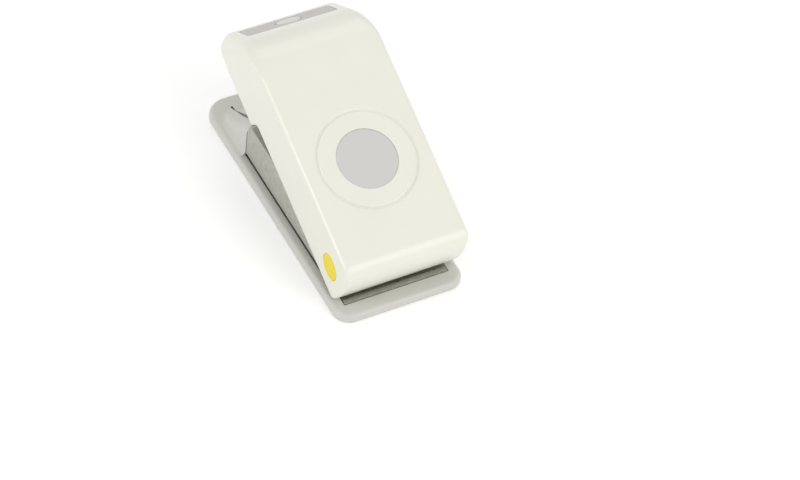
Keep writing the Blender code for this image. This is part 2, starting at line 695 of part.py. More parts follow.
def plunger_cap(parent):
    """A hat that the presser pin pushes on, with a flange for the spring round the tower."""
    hole = CAP_SCREW_DIAMETER / 2 + GAP
    sink = CAP_SCREW_HEAD / 2 + GAP
    edge = CAP_WALL / 3
    flange_top = FLANGE_LOW + CAP_FLANGE_THICKNESS
    profile = [
        (hole, CROWN_UNDER), (CAP_INNER, CROWN_UNDER), (CAP_INNER, FLANGE_LOW),
        (FLANGE_RADIUS, FLANGE_LOW), (FLANGE_RADIUS, flange_top), (CAP_OUTER, flange_top),
        (CAP_OUTER, CAP_TOP - edge), (CAP_OUTER - edge, CAP_TOP), (sink, CAP_TOP),
        (sink, CAP_TOP - CAP_SCREW_SINK), (hole, CROWN_UNDER + CAP_CROWN / 5),
    ]
    piece("plunger_cap", turned(list(reversed(profile))), parent, DARK_PLASTIC)
    bm = countersunk(
        CAP_SCREW_DIAMETER / 2, CAP_SCREW_HEAD / 2, CAP_TOP - CAP_SCREW_SINK,
        CAP_SCREW_LENGTH, CAP_CROWN * 0.8 - CAP_SCREW_SINK,
    )
    piece("cap_screw", bm, parent, PLATED_STEEL)


def lever_rear():
    """(along, above) points of the lever's rear outline, from the flat top down to the skirt."""
    start = (SLOPE_START, LEVER_TOP - SLOPE_RADIUS)
    points = arc(start, SLOPE_RADIUS, math.pi / 2, math.pi / 2 - SLOPE_ANGLE, SLOPE_STEPS)
    along, above = points[-1]
    for part in range(1, SLOPE_PARTS + 1):
        length = HEEL_LENGTH * part / SLOPE_PARTS
        points.append((along + length * math.cos(SLOPE_ANGLE), above - length * math.sin(SLOPE_ANGLE)))
    heel = points[-1]
    end = LEVER_LENGTH - LEVER_FRONT
    points.append((heel[0] + (end - heel[0]) * 0.75, heel[1] - HEEL_DROP * 0.45))
    points.append((end, heel[1] - HEEL_DROP))
    points.append((end, -SKIRT_REAR_LOW - OVERRUN))
    return points


def edge_inset(above, radius):
    """How far a round edge of this radius draws in the lever's side at a height."""
    rise = max(above - (LEVER_TOP - radius), 0.0) / radius
    return radius * (1.0 - math.sqrt(max(1.0 - rise * rise, 0.0)))


def lever_front(above):
    """The lever's bulging front at a height, with a round edge to the top."""
    share = (above + SKIRT_FRONT_LOW) / (LEVER_TOP + SKIRT_FRONT_LOW)
    bulge = FRONT_BULGE * math.sin(math.pi * max(share, 0.0) ** FRONT_BULGE_SHARE)
    return edge_inset(above, FRONT_EDGE) - LEVER_FRONT - bulge


def lever_rings():
    """The lever's outer form from its lowest ring up."""
    half = LEVER_WIDTH / 2
    rings = []
    for along, above in reversed(lever_rear()):
        inset = edge_inset(above, LEVER_EDGE)
        front = lever_front(above)
        rings.append(
            rounded_ring(front, along, half - inset, LEVER_FRONT_RADIUS, LEVER_REAR_RADIUS, above)
        )
    return rings


def hollow_rings():
    """The hollow inside the lever, with a flat front."""
    half = LEVER_WIDTH / 2 - LEVER_WALL
    front = LEVER_WALL - LEVER_FRONT
    radius = LEVER_REAR_RADIUS - LEVER_WALL
    rings = []
    for along, above in reversed(lever_rear()):
        inset = edge_inset(above, LEVER_EDGE)
        height = above - LEVER_TOP_WALL
        if not rings:
            height = above - OVERRUN
        rings.append(rounded_ring(front, along - LEVER_WALL, half - inset, 2 * GAP, radius, height))
    return rings


def skirt_trim():
    """All that lies under the skirt's lower edge, seen from the side."""
    low = -SKIRT_REAR_LOW - 3 * OVERRUN
    rear = LEVER_LENGTH
    drop = SKIRT_REAR_LOW - SKIRT_FRONT_LOW
    front_step = SKIRT_STEP - SKIRT_STEP_SPAN / 2
    edge = [
        (-LEVER_LENGTH / 2, -SKIRT_FRONT_LOW),
        (front_step, -SKIRT_FRONT_LOW),
        (front_step + SKIRT_STEP_SPAN * 0.33, -SKIRT_FRONT_LOW - drop * 0.12),
        (front_step + SKIRT_STEP_SPAN * 0.50, -SKIRT_FRONT_LOW - drop * 0.36),
        (front_step + SKIRT_STEP_SPAN * 0.68, -SKIRT_FRONT_LOW - drop * 0.80),
        (front_step + SKIRT_STEP_SPAN * 0.80, -SKIRT_FRONT_LOW - drop * 0.95),
        (front_step + SKIRT_STEP_SPAN, -SKIRT_REAR_LOW),
        (SKIRT_RISE_START, -SKIRT_REAR_LOW),
        (rear, -SKIRT_TIP_LOW),
    ]
    return edge + [(rear, low), (-LEVER_LENGTH / 2, low)]


def slope_middle():
    """Middle of the label on the rear slope."""
    along, above = lever_rear()[SLOPE_STEPS]
    run = LABEL_OFFSET * math.cos(SLOPE_ANGLE)
    drop = LABEL_OFFSET * math.sin(SLOPE_ANGLE)
    return Vector((0.0, along + run, above - drop))


def on_slope(bm):
    """Turns a shape drawn flat about the origin to lie on the rear slope."""
    turn = Matrix.Rotation(-SLOPE_ANGLE, 3, "X")
    bmesh.ops.rotate(bm, verts=bm.verts, cent=(0.0, 0.0, 0.0), matrix=turn)
    bmesh.ops.translate(bm, verts=bm.verts, vec=slope_middle())
    return bm


def plate_rings(width, height, radius, low, high):
    return [
        rounded_ring(-height / 2, height / 2, width / 2, radius, radius, level) for level in (low, high)
    ]


def oval_rings(width, height, low, high):
    angles = [math.tau * step / ROUND_STEPS for step in range(ROUND_STEPS)]
    return [
        [(width / 2 * math.cos(a), height / 2 * math.sin(a), level) for a in angles] for level in (low, high)
    ]


def pad_centre():
    return 0.0, CUTTER_REACH


def lever_shell(parent):
    shell = piece("lever_shell", loft(lever_rings()), parent, WHITE_PLASTIC)
    inner_end = LEVER_LENGTH - LEVER_FRONT - LEVER_WALL
    pad = (LEVER_TOP - PAD_DEPTH, LEVER_TOP + OVERRUN)
    cut(shell, loft(hollow_rings()))
    ledge_low, ledge_high = ledge_levels()
    ledge_y = (inner_end - LEDGE_DEPTH, inner_end + LEVER_WALL / 2)
    join(shell, box(centred(LEDGE_WIDTH), ledge_y, (ledge_low, ledge_high)))
    cut(
        shell,
        prism(skirt_trim(), -LEVER_WIDTH, LEVER_WIDTH),
        rod(PAD_DIAMETER / 2 + GAP, *pad, pad_centre(), ROUND_STEPS + ROUND_STEPS // 2),
        cross_rod(PIN_DIAMETER / 2 + GAP, -LEVER_WIDTH, LEVER_WIDTH, steps=ROUND_STEPS // 2),
        on_slope(loft(plate_rings(
            LABEL_WIDTH + 2 * GAP, LABEL_HEIGHT + 2 * GAP, LABEL_CORNER + GAP,
            -LABEL_THICKNESS - GAP, OVERRUN,
        ))),
    )
    seat = LEVER_WIDTH / 2 - CAP_THICKNESS - GAP
    for low, high in ((seat, LEVER_WIDTH), (-LEVER_WIDTH, -seat)):
        cut(shell, cross_rod(CAP_DIAMETER / 2 + GAP, low, high))
    for x, y in bracket_screw_places():
        high = WEB_TOP + BRACKET_SCREW_DEPTH + 2 * GAP
        cut(shell, rod(BRACKET_SCREW_DIAMETER / 2 + GAP, WEB_UNDER, high, (x, y), ROUND_STEPS // 2))


def ledge_levels():
    high = -SKIRT_TIP_LOW + LEDGE_THICKNESS
    return high - LEDGE_THICKNESS, high


def press_pad(parent):
    """The raised round pad for the palm, with a seat for the disc that shows the size of the cut."""
    radius = PAD_DIAMETER / 2
    low = LEVER_TOP - PAD_DEPTH + GAP
    high = LEVER_TOP + PAD_PROUD
    seat = CUTTER_RADIUS + GAP
    floor = high - DISC_RECESS
    profile = [(0.0, low), (radius, low), (radius, high - PAD_EDGE)]
    profile += [
        (radius - inset * PAD_EDGE, high - PAD_EDGE + rise * PAD_EDGE) for inset, rise in quarter(3)[1:]
    ]
    profile += [(seat, high), (seat, floor), (0.0, floor)]
    centre = (*pad_centre(), 0.0)
    piece("press_pad", turned(profile, centre, ROUND_STEPS + ROUND_STEPS // 2), parent, PAD_PLASTIC)
    disc = rod(CUTTER_RADIUS, floor + GAP, floor + GAP + DISC_THICKNESS, pad_centre())
    piece("size_disc", disc, parent, GREY_INLAY)


def label_plate(parent):
    plate = loft(plate_rings(LABEL_WIDTH, LABEL_HEIGHT, LABEL_CORNER, -LABEL_THICKNESS, 0.0))
    label = piece("label_plate", on_slope(plate), parent, LABEL_GREY)
    seat = BADGE_THICKNESS + GAP - GAP / 3
    cut(label, on_slope(loft(oval_rings(BADGE_WIDTH + 2 * GAP, BADGE_HEIGHT + 2 * GAP, -seat, OVERRUN))))
    badge = loft(oval_rings(BADGE_WIDTH, BADGE_HEIGHT, GAP - seat, GAP - seat + BADGE_THICKNESS))
    piece("label_badge", on_slope(badge), parent, BADGE_WHITE)


def cheek_outline():
    """Side view of the bracket: an ear round the hinge, then a cheek down each side of the cap."""
    front_low = EAR_RADIUS * math.cos(math.radians(-28.0)), EAR_RADIUS * math.sin(math.radians(-28.0))
    outline = [front_low, (front_low[0] + EAR_RADIUS * 0.7, CHEEK_LOW)]
    outline += [(CHEEK_LENGTH - CHEEK_LOW, CHEEK_LOW), (CHEEK_LENGTH, 2 * CHEEK_LOW)]
    outline += [(CHEEK_LENGTH, WEB_UNDER), (BRACKET_LENGTH, WEB_UNDER), (BRACKET_LENGTH, WEB_TOP)]
    outline += [(-EAR_RADIUS / 2, WEB_TOP)]
    outline += arc((0.0, 0.0), EAR_RADIUS, math.radians(135.0), math.radians(315.0), 12)
    return outline


def bracket_screw_places():
    front = BRACKET_SCREW_FRONT
    sides = centred(BRACKET_WIDTH - 2 * BRACKET_SCREW_EDGE)
    return [(x, y) for y in (front, front + BRACKET_SCREW_PITCH) for x in sides]


def lever_bracket(parent):
    bracket = piece("lever_bracket", prism(cheek_outline(), *centred(BRACKET_WIDTH)), parent, PLATED_STEEL)
    inner = centred(BRACKET_WIDTH - 2 * BRACKET_SHEET)
    bush = PIN_DIAMETER / 2 + GAP + BUSH_WALL
    cut(
        bracket,
        box(inner, (-LEVER_FRONT, BRACKET_LENGTH + OVERRUN), (-LEVER_FRONT, WEB_UNDER)),
        cross_rod(bush + GAP, -BRACKET_WIDTH, BRACKET_WIDTH, steps=ROUND_STEPS // 2),
        cross_rod(
            PRESSER_RADIUS + GAP, -BRACKET_WIDTH, BRACKET_WIDTH, CUTTER_REACH, PRESSER_RISE, ROUND_STEPS // 2
        ),
    )
    for x, y in bracket_screw_places():
        cut(bracket, rod(BRACKET_SCREW_DIAMETER / 2 + GAP, 0.0, LEVER_TOP, (x, y), ROUND_STEPS // 2))


def bracket_screws(parent):
    head = BRACKET_SCREW_HEAD / 2
    radius = BRACKET_SCREW_DIAMETER / 2
    seat = WEB_UNDER - GAP
    low = seat - BRACKET_SCREW_HEAD_HEIGHT
    high = WEB_TOP + BRACKET_SCREW_DEPTH
    edge = BRACKET_SCREW_HEAD_HEIGHT / 3
    profile = [(0.0, low), (head - edge, low), (head, low + edge), (head, seat), (radius, seat)]
    profile += [(radius, high), (0.0, high)]
    for number, (x, y) in enumerate(bracket_screw_places(), 1):
        bm = turned(profile, (x, y, 0.0), ROUND_STEPS // 2)
        piece(f"bracket_screw_{number}", bm, parent, PLATED_STEEL)


def presser_pin(parent):
    span = centred(BRACKET_WIDTH + 2 * PRESSER_MARGIN)
    bm = cross_rod(PRESSER_RADIUS, *span, CUTTER_REACH, PRESSER_RISE, ROUND_STEPS // 2)
    piece("presser_pin", bm, parent, TOOL_STEEL)


def side_pieces(parent):
    """A nylon bush in each ear of the bracket, and a yellow cap over each end of the hinge pin."""
    bush = PIN_DIAMETER / 2 + GAP + BUSH_WALL
    outer = BRACKET_WIDTH / 2
    seat = LEVER_WIDTH / 2 - CAP_THICKNESS
    for side, name in ((-1, "left"), (1, "right")):
        span = sorted((side * outer, side * (outer - BUSH_LENGTH)))
        sleeve = piece(f"pivot_bush_{name}", cross_rod(bush, *span, steps=ROUND_STEPS // 2), parent, NYLON)
        cut(sleeve, cross_rod(PIN_DIAMETER / 2 + GAP, -LEVER_WIDTH, LEVER_WIDTH, steps=ROUND_STEPS // 2))
        face = sorted((side * seat, side * (seat + CAP_THICKNESS)))
        piece(f"pin_cap_{name}", cross_rod(CAP_DIAMETER / 2, *face), parent, YELLOW_PLASTIC)


def nose_height():
    """Underside of the lock's nose: just over the ledge of the closed lever."""
    along = LEVER_LENGTH - LEVER_FRONT - LEVER_WALL - LEDGE_DEPTH
    return lever_point(along, ledge_levels()[1], CLOSED_ANGLE)[1] + GAP


def lock_slider(parent):
    """Pulled to the rear, its nose holds the closed lever down for storage."""
    low = CHANNEL_FLOOR + GAP
    plate_top = low + LOCK_PLATE_THICKNESS
    plate_half = centred(CHANNEL_WIDTH + 2 * RAIL_DEPTH - 2 * GAP)
    bm = box(plate_half, (LOCK_FRONT, LOCK_REAR), (low, plate_top))
    slider = piece("lock_slider", bm, parent, GREY_PLASTIC)
    run = WEDGE_REAR - LOCK_FRONT
    stops = [LOCK_FRONT + run * step / WEDGE_STEPS for step in range(WEDGE_STEPS + 1)]
    wedge = [(WEDGE_REAR, plate_top - GAP), (LOCK_FRONT, plate_top - GAP)]
    wedge += [(y, block_slope(y) - WEDGE_SINK) for y in stops]
    hook_rear = HOOK_FRONT + HOOK_THICKNESS
    nose_low = nose_height()
    nose_top = nose_low + HOOK_NOSE
    hook = [
        (HOOK_FRONT, plate_top), (hook_rear, plate_top), (hook_rear, nose_low),
        (hook_rear + HOOK_REACH, nose_low), (hook_rear + HOOK_REACH, nose_low + HOOK_NOSE / 3),
        (hook_rear, nose_top), (HOOK_FRONT, nose_top),
    ]
    thumb_low = TRAY_TOP + GAP
    thumb_top = thumb_low + THUMB_THICKNESS
    thumb_rear = THUMB_FRONT + THUMB_LENGTH
    thumb = [
        (THUMB_FRONT, thumb_low), (thumb_rear, thumb_low), (thumb_rear, thumb_top + THUMB_RIDGE),
        (thumb_rear - THUMB_RIDGE_WIDTH, thumb_top + THUMB_RIDGE),
        (thumb_rear - 2 * THUMB_RIDGE_WIDTH, thumb_top), (THUMB_FRONT, thumb_top),
    ]
    wedge_half = centred(CHANNEL_WIDTH - 2 * WEDGE_SIDE_GAP)
    join(
        slider,
        prism(wedge, *wedge_half),
        box(wedge_half, (LIP_FRONT, LOCK_REAR), (thumb_low, thumb_low + LIP_THICKNESS)),
        prism(hook, *centred(HOOK_WIDTH)),
        prism(thumb, *centred(THUMB_WIDTH)),
    )


def main():
    clear_scene()
    base = pivot("base_origin", (0.0, HINGE_Y, 0.0))
    lever = pivot("lever_axis", (0.0, HINGE_Y, HINGE_HEIGHT), OPEN_ANGLE)
    plunger = pivot("cutter_axis", (0.0, HINGE_Y + CUTTER_REACH, 0.0))
    lock = pivot("lock_axis", (0.0, HINGE_Y, 0.0))
    base_tray(base)
    die_plate(base)
    spacer_plate(base)
    guide_frame(base)
    clamp_screws(base)
    tray_screws(base)
    hinge_pin(base)
    return_spring(base)
    cutter(plunger)
    plunger_cap(plunger)
    lever_shell(lever)
    press_pad(lever)
    label_plate(lever)
    lever_bracket(lever)
    bracket_screws(lever)
    presser_pin(lever)
    side_pieces(lever)
    lock_slider(lock)
    print(f"stroke {STROKE / MM:.3f} mm, {STROKE / LEVER_SWING / MM:.3f} mm per radian")


main()
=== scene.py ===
# %% [markdown]
# # Circle punch
# A hand lever with a round pad pushes a sprung cutter through a die plate. The imported model is
# the fixed frame of this lesson: each of its solids already has its place and its body. Each
# larger visible form is made again here with finer, rounded surfaces, because a model for motion
# has few faces; the small metal pieces keep their own.

# %% Load the frame
import math

import bmesh
import bpy
from mathutils import Matrix, Vector


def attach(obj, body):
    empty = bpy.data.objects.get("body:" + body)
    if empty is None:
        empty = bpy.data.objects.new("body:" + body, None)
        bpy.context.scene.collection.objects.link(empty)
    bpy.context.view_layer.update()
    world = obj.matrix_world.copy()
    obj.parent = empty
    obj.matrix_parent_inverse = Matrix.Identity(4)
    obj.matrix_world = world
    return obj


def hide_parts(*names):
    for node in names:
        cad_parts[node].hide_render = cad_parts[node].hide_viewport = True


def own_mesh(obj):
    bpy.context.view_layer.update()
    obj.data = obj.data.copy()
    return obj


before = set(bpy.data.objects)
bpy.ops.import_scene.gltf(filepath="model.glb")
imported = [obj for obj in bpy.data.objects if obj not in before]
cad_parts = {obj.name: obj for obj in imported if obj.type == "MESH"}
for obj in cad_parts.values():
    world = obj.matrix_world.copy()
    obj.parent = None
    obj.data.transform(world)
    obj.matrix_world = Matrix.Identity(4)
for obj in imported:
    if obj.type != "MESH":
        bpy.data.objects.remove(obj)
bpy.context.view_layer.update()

# %% [markdown]
# ## Shared sizes
# Blender counts in metres, and a punch is measured in millimetres, so each length is written as a
# number times MM. The hinge axis, the open angle and the cut are needed by many pieces. A size
# that one piece needs stands beside it. Lever pieces are drawn flat about the hinge and then
# turned open by one matrix, which keeps their numbers plain.

# %% Shared sizes
MM = 0.001
GAP = 0.3 * MM
OVERRUN = 2.0 * MM
MERGE = 0.002 * MM
HINGE = Vector((0.0, -49.0 * MM, 19.9 * MM))
OPEN_ANGLE = math.radians(22.24)
REACH = 33.2 * MM
CUT_RADIUS = 12.7 * MM
TO_BASE = Matrix.Translation((0.0, HINGE.y, 0.0))
TO_LEVER = Matrix.Translation(HINGE) @ Matrix.Rotation(OPEN_ANGLE, 4, "X")
print("hinge height", round(HINGE.z / MM, 1), "mm, width of the cut", round(2 * CUT_RADIUS / MM, 1), "mm")

# %% [markdown]
# ## Rings of points
# Most moulded parts are a stack of outlines: a rounded rectangle that shrinks towards a soft
# edge. The edge of such a part could be a Bevel modifier, but a drawn quarter circle gives full
# control over its width. These helpers give arcs, quarter circles and rounded rectangles as plain
# lists of points.

# %% Rings of points
def arc(centre, radius, start, end, steps):
    """Points (y, z) or (x, y) along an arc, with both ends."""
    angles = [start + (end - start) * step / steps for step in range(steps + 1)]
    return [(centre[0] + radius * math.cos(a), centre[1] + radius * math.sin(a)) for a in angles]


def quarter(steps):
    """(inset share, rise share) pairs round a quarter circle, from its side to its top."""
    angles = [math.pi / 2 * step / steps for step in range(steps + 1)]
    return [(1.0 - math.cos(a), math.sin(a)) for a in angles]


CORNER_STEPS = 12


def rounded_ring(front, rear, half, front_radius, rear_radius, height, steps=CORNER_STEPS):
    """Points round a rectangle with round corners, from its right front corner round."""
    corners = (
        (half - front_radius, front + front_radius, front_radius, -0.25),
        (half - rear_radius, rear - rear_radius, rear_radius, 0.0),
        (rear_radius - half, rear - rear_radius, rear_radius, 0.25),
        (front_radius - half, front + front_radius, front_radius, 0.5),
    )
    ring = []
    for x, y, radius, turn in corners:
        start = math.tau * turn
        ring += [(*point, height) for point in arc((x, y), radius, start, start + math.tau / 4, steps)]
    return ring


print("a quarter circle in 2 steps:", [(round(inset, 2), round(rise, 2)) for inset, rise in quarter(2)])

# %% [markdown]
# ## Lofts
# A lofted solid joins one ring to the next, as a hull is skinned over its ribs. Extruding and
# scaling by hand would do the same, ring after ring. Here the Bridge operator joins each pair of
# rings, and both ends are filled, so the solid is closed.

# %% Lofts
def ring_edges(bm, points):
    """A closed loop of edges through the points."""
    verts = [bm.verts.new(point) for point in points]
    return [bm.edges.new(pair) for pair in zip(verts, verts[1:] + verts[:1])]


def loft(rings):
    """A closed solid through rings with the same number of points."""
    bm = bmesh.new()
    loops = [ring_edges(bm, ring) for ring in rings]
    for low, high in zip(loops, loops[1:]):
        bmesh.ops.bridge_loops(bm, edges=low + high)
    for ends in (loops[0], loops[-1]):
        bmesh.ops.edgeloop_fill(bm, edges=ends)
    bmesh.ops.recalc_face_normals(bm, faces=bm.faces)
    return bm


sample = loft([rounded_ring(-1.0, 1.0, 1.0, 0.5, 0.5, level) for level in (0.0, 1.0)])
print("a loft of two rings has", len(sample.faces), "faces")
sample.free()

# %% [markdown]
# ## Blocks and prisms
# Plates, recesses and channels are blocks, and a part with the same side view all across is a
# prism. A stretched cube makes the block. The prism starts as one flat face with the outline,
# which the Extrude operator pulls out, as one would do by hand in a side view.

# %% Blocks and prisms
def box(x, y, z):
    """A block between two corners: a cube of size 1, stretched and moved."""
    middle = Matrix.Translation([(low + high) / 2 for low, high in (x, y, z)])
    stretch = Matrix.Diagonal([high - low for low, high in (x, y, z)] + [1.0])
    bm = bmesh.new()
    bmesh.ops.create_cube(bm, size=1.0, matrix=middle @ stretch)
    return bm


def prism(outline, half):
    """A face with an outline of (y, z) points, pulled out along X."""
    bm = bmesh.new()
    face = bm.faces.new([bm.verts.new((-half, y, z)) for y, z in outline])
    pulled = bmesh.ops.extrude_face_region(bm, geom=[face])["geom"]
    moved = [item for item in pulled if isinstance(item, bmesh.types.BMVert)]
    bmesh.ops.translate(bm, verts=moved, vec=(2 * half, 0.0, 0.0))
    bmesh.ops.recalc_face_normals(bm, faces=bm.faces)
    return bm


sample = prism([(0.0, 0.0), (1.0, 0.0), (1.0, 1.0), (0.0, 1.0)], 0.5)
print("a prism on four points has", len(sample.faces), "faces")
sample.free()

# %% [markdown]
# ## Turned shapes
# Pins, caps, bores and the cutter come off a lathe. Spin is the lathe of the modeller: half a
# profile goes once round an axis, and its ends are merged so that no seam stays open. A cylinder
# with loops cut in would do as well, but a profile shows every step of the radius at a glance.

# %% Turned shapes
def turned(profile, centre=(0.0, 0.0), steps=96):
    """A closed outline of (radius, height) points spun round an upright axis."""
    bm = bmesh.new()
    verts = [bm.verts.new((r, 0.0, z)) for r, z in profile]
    edges = [bm.edges.new(pair) for pair in zip(verts, verts[1:] + verts[:1])]
    bmesh.ops.spin(
        bm, geom=verts + edges, cent=(0.0, 0.0, 0.0), axis=(0.0, 0.0, 1.0),
        angle=math.tau, steps=steps, use_merge=True,
    )
    bmesh.ops.remove_doubles(bm, verts=bm.verts, dist=MERGE)
    loose = [edge for edge in bm.edges if not edge.link_faces]
    bmesh.ops.delete(bm, geom=loose, context="EDGES")
    bmesh.ops.translate(bm, verts=bm.verts, vec=(*centre, 0.0))
    return bm


def rod(radius, low, high, centre=(0.0, 0.0), steps=96):
    """A round bar between two heights."""
    return turned([(0.0, low), (radius, low), (radius, high), (0.0, high)], centre, steps)


def lie_along_x(bm, along=0.0, above=0.0):
    """Turns a shape drawn round Z so that its axis lies along X."""
    turn = Matrix.Rotation(math.pi / 2, 3, "Y")
    bmesh.ops.rotate(bm, verts=bm.verts, cent=(0.0, 0.0, 0.0), matrix=turn)
    bmesh.ops.translate(bm, verts=bm.verts, vec=(0.0, along, above))
    return bm


sample = rod(1.0, 0.0, 1.0, steps=12)
print("a rod with 12 sides has", len(sample.faces), "faces")
sample.free()

# %% [markdown]
# ## Cut and join
# Bores, pockets and seats are cut into a part after its outer form is there, as on a real
# machine. The Boolean modifier does both cutting and joining. Its exact solver keeps sharp, clean
# borders, and the result is closed again where a sliver of a face is lost. The modifiers run in
# the order in which they are given.

# %% Cut and join
def as_object(bm, name):
    """A mesh object from a bmesh, with doubles merged and all faces pointing outwards."""
    bmesh.ops.remove_doubles(bm, verts=bm.verts, dist=MERGE)
    bmesh.ops.recalc_face_normals(bm, faces=bm.faces)
    mesh = bpy.data.meshes.new(name)
    bm.to_mesh(mesh)
    bm.free()
    obj = bpy.data.objects.new(name, mesh)
    bpy.context.scene.collection.objects.link(obj)
    return obj


def carved(bm, *steps):
    """The shape after Booleans: pairs of an operation and a cutter, in order."""
    body = as_object(bm, "carving")
    tools = []
    for operation, cutter in steps:
        tool = as_object(cutter, "carving_tool")
        modifier = body.modifiers.new(operation, "BOOLEAN")
        modifier.operation = operation
        modifier.solver = "EXACT"
        modifier.object = tool
        tools.append(tool)
    evaluated = body.evaluated_get(bpy.context.evaluated_depsgraph_get())
    result = bmesh.new()
    result.from_mesh(evaluated.to_mesh())
    for old in [body, *tools]:
        bpy.data.objects.remove(old, do_unlink=True)
    bmesh.ops.remove_doubles(result, verts=result.verts, dist=MERGE)
    bmesh.ops.dissolve_degenerate(result, edges=result.edges, dist=MERGE)
    slivers = [edge for edge in result.edges if len(edge.link_faces) == 1]
    bmesh.ops.holes_fill(result, edges=slivers, sides=3)
    return result


def cuts(*cutters):
    """Steps for carved() that take shapes away."""
    return [("DIFFERENCE", cutter) for cutter in cutters]


def joins(*cutters):
    """Steps for carved() that add shapes."""
    return [("UNION", cutter) for cutter in cutters]


sample = carved(box((-1.0, 1.0), (-1.0, 1.0), (0.0, 1.0)), *cuts(rod(0.5, -1.0, 2.0, steps=16)))
print("a block with a hole has", len(sample.faces), "faces")
sample.free()

# %% [markdown]
# ## Soft edges
# No moulded or cast edge is knife sharp, and the narrow highlight along it tells the eye how big
# the thing is. The Bevel operator rounds the edges that are chosen by their angle and place. It
# needs fresh face normals, because a face that was just made has none, and its angle would read
# as zero.

# %% Soft edges
def soften(bm, width, segments=3, least=40.0, where=None):
    """Rounds the edges that are sharper than an angle, and for which where(middle) holds."""
    bm.normal_update()
    limit = math.radians(least)
    chosen = []
    for edge in bm.edges:
        if len(edge.link_faces) != 2 or edge.calc_face_angle(0.0) < limit:
            continue
        middle = (edge.verts[0].co + edge.verts[1].co) / 2
        if where is None or where(middle):
            chosen.append(edge)
    bmesh.ops.bevel(
        bm, geom=chosen, offset=width, offset_type="OFFSET", segments=segments, profile=0.5,
        affect="EDGES", clamp_overlap=True, material=-1, loop_slide=True,
    )
    return bm


sample = soften(box((0.0, 1.0), (0.0, 1.0), (0.0, 1.0)), 0.1, 3)
print("a softened block has", len(sample.faces), "faces")
sample.free()

# %% [markdown]
# ## A finished piece
# Each piece rides on a body of the model, so that it moves with the joint, and takes the place of
# its own solid. Its place goes into its mesh and its object stays at the origin, as the solids'
# objects do. Smooth shading with weighted normals keeps large faces flat and lets only the narrow
# edges turn the light.

# %% Finished piece
def piece(name, bm, matrix, material, body, slot, *nodes, sharp=32.0):
    """The finished piece, with its place baked into its mesh."""
    bmesh.ops.transform(bm, matrix=matrix, verts=bm.verts)
    obj = as_object(bm, name)
    obj.data.materials.append(material)
    obj.data.shade_smooth()
    obj.data.set_sharp_from_angle(angle=math.radians(sharp))
    weighted = obj.modifiers.new("weighted", "WEIGHTED_NORMAL")
    weighted.keep_sharp = True
    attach(obj, body)
    if nodes:
        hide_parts(*nodes)
    print(name, len(obj.data.polygons), "faces")
    return obj


# %% [markdown]
# ## The start of a material
# Every finish of the punch begins with the same shader, its colour, its roughness and a place to
# read noise from. Noise in object coordinates needs no picture, and it stays on the piece when
# the piece moves. A value that is the same all over is set on the shader's own socket.

# %% Start of a material
SHADER = "Principled BSDF"


def start(name, colour, roughness, metallic=0.0, specular=0.5):
    """A new material, its shader, and the object coordinates to read noise from."""
    material = bpy.data.materials.new(name)
    material.use_nodes = True
    tree = material.node_tree
    shader = tree.nodes[SHADER]
    shader.inputs["Base Color"].default_value = (*colour, 1.0)
    shader.inputs["Roughness"].default_value = roughness
    shader.inputs["Metallic"].default_value = metallic
    shader.inputs["Specular IOR Level"].default_value = specular
    place = tree.nodes.new("ShaderNodeTexCoord")
    return material, tree, shader, place.outputs["Object"]


def noise(tree, place, scale, detail=3.0, stretch=(1.0, 1.0, 1.0)):
    """Noise between 0 and 1; the scale is in features per metre."""
    mapping = tree.nodes.new("ShaderNodeMapping")
    mapping.inputs["Scale"].default_value = stretch
    tree.links.new(place, mapping.inputs["Vector"])
    texture = tree.nodes.new("ShaderNodeTexNoise")
    texture.inputs["Scale"].default_value = scale
    texture.inputs["Detail"].default_value = detail
    tree.links.new(mapping.outputs["Vector"], texture.inputs["Vector"])
    return texture.outputs["Fac"]


print("each finish starts from the", SHADER)

# %% [markdown]
# ## Drift and bump
# A real surface is never quite even: its gloss and tone change a little from place to place, and
# it has a skin. Map Range turns noise into a small range of gloss, a colour ramp turns it into
# two near tones, and Bump tilts the normals without any new faces, which is right for a relief of
# a few thousandths of a millimetre.

# %% Drift and bump
def spread(tree, value, low, high, start_at=0.3, end_at=0.7):
    """A value between 0 and 1, spread over another range."""
    node = tree.nodes.new("ShaderNodeMapRange")
    node.inputs["From Min"].default_value = start_at
    node.inputs["From Max"].default_value = end_at
    node.inputs["To Min"].default_value = low
    node.inputs["To Max"].default_value = high
    tree.links.new(value, node.inputs["Value"])
    return node.outputs["Result"]


def tint(tree, value, low, high, start_at=0.3, end_at=0.7):
    """A colour between two colours, by a value."""
    ramp = tree.nodes.new("ShaderNodeValToRGB")
    ramp.color_ramp.elements[0].position = start_at
    ramp.color_ramp.elements[0].color = (*low, 1.0)
    ramp.color_ramp.elements[1].position = end_at
    ramp.color_ramp.elements[1].color = (*high, 1.0)
    tree.links.new(value, ramp.inputs["Fac"])
    return ramp.outputs["Color"]


def bump(tree, shader, value, distance, strength=1.0, under=None):
    """Tilts the normals by a value, on top of another bump where one is given."""
    node = tree.nodes.new("ShaderNodeBump")
    node.inputs["Distance"].default_value = distance
    node.inputs["Strength"].default_value = strength
    tree.links.new(value, node.inputs["Height"])
    if under is not None:
        tree.links.new(under, node.inputs["Normal"])
    tree.links.new(node.outputs["Normal"], shader.inputs["Normal"])
    return node.outputs["Normal"]


def shaded(colour, share):
    """A colour made darker or lighter by a share."""
    return tuple(channel * share for channel in colour)


print("a tone of 0.5 with a share of 0.9:", shaded((0.5,), 0.9))

# %% [markdown]
# ## Moulded plastic
# The lever, pad, label and base are moulded: slightly milky, half glossy, with the faint grain of
# the mould. A plain shader would look like wax, so slow noise drifts the colour, finer noise the
# gloss, and the finest one is a bump of a few thousandths of a millimetre. The coat gives the
# lever the wet highlight of polished plastic.

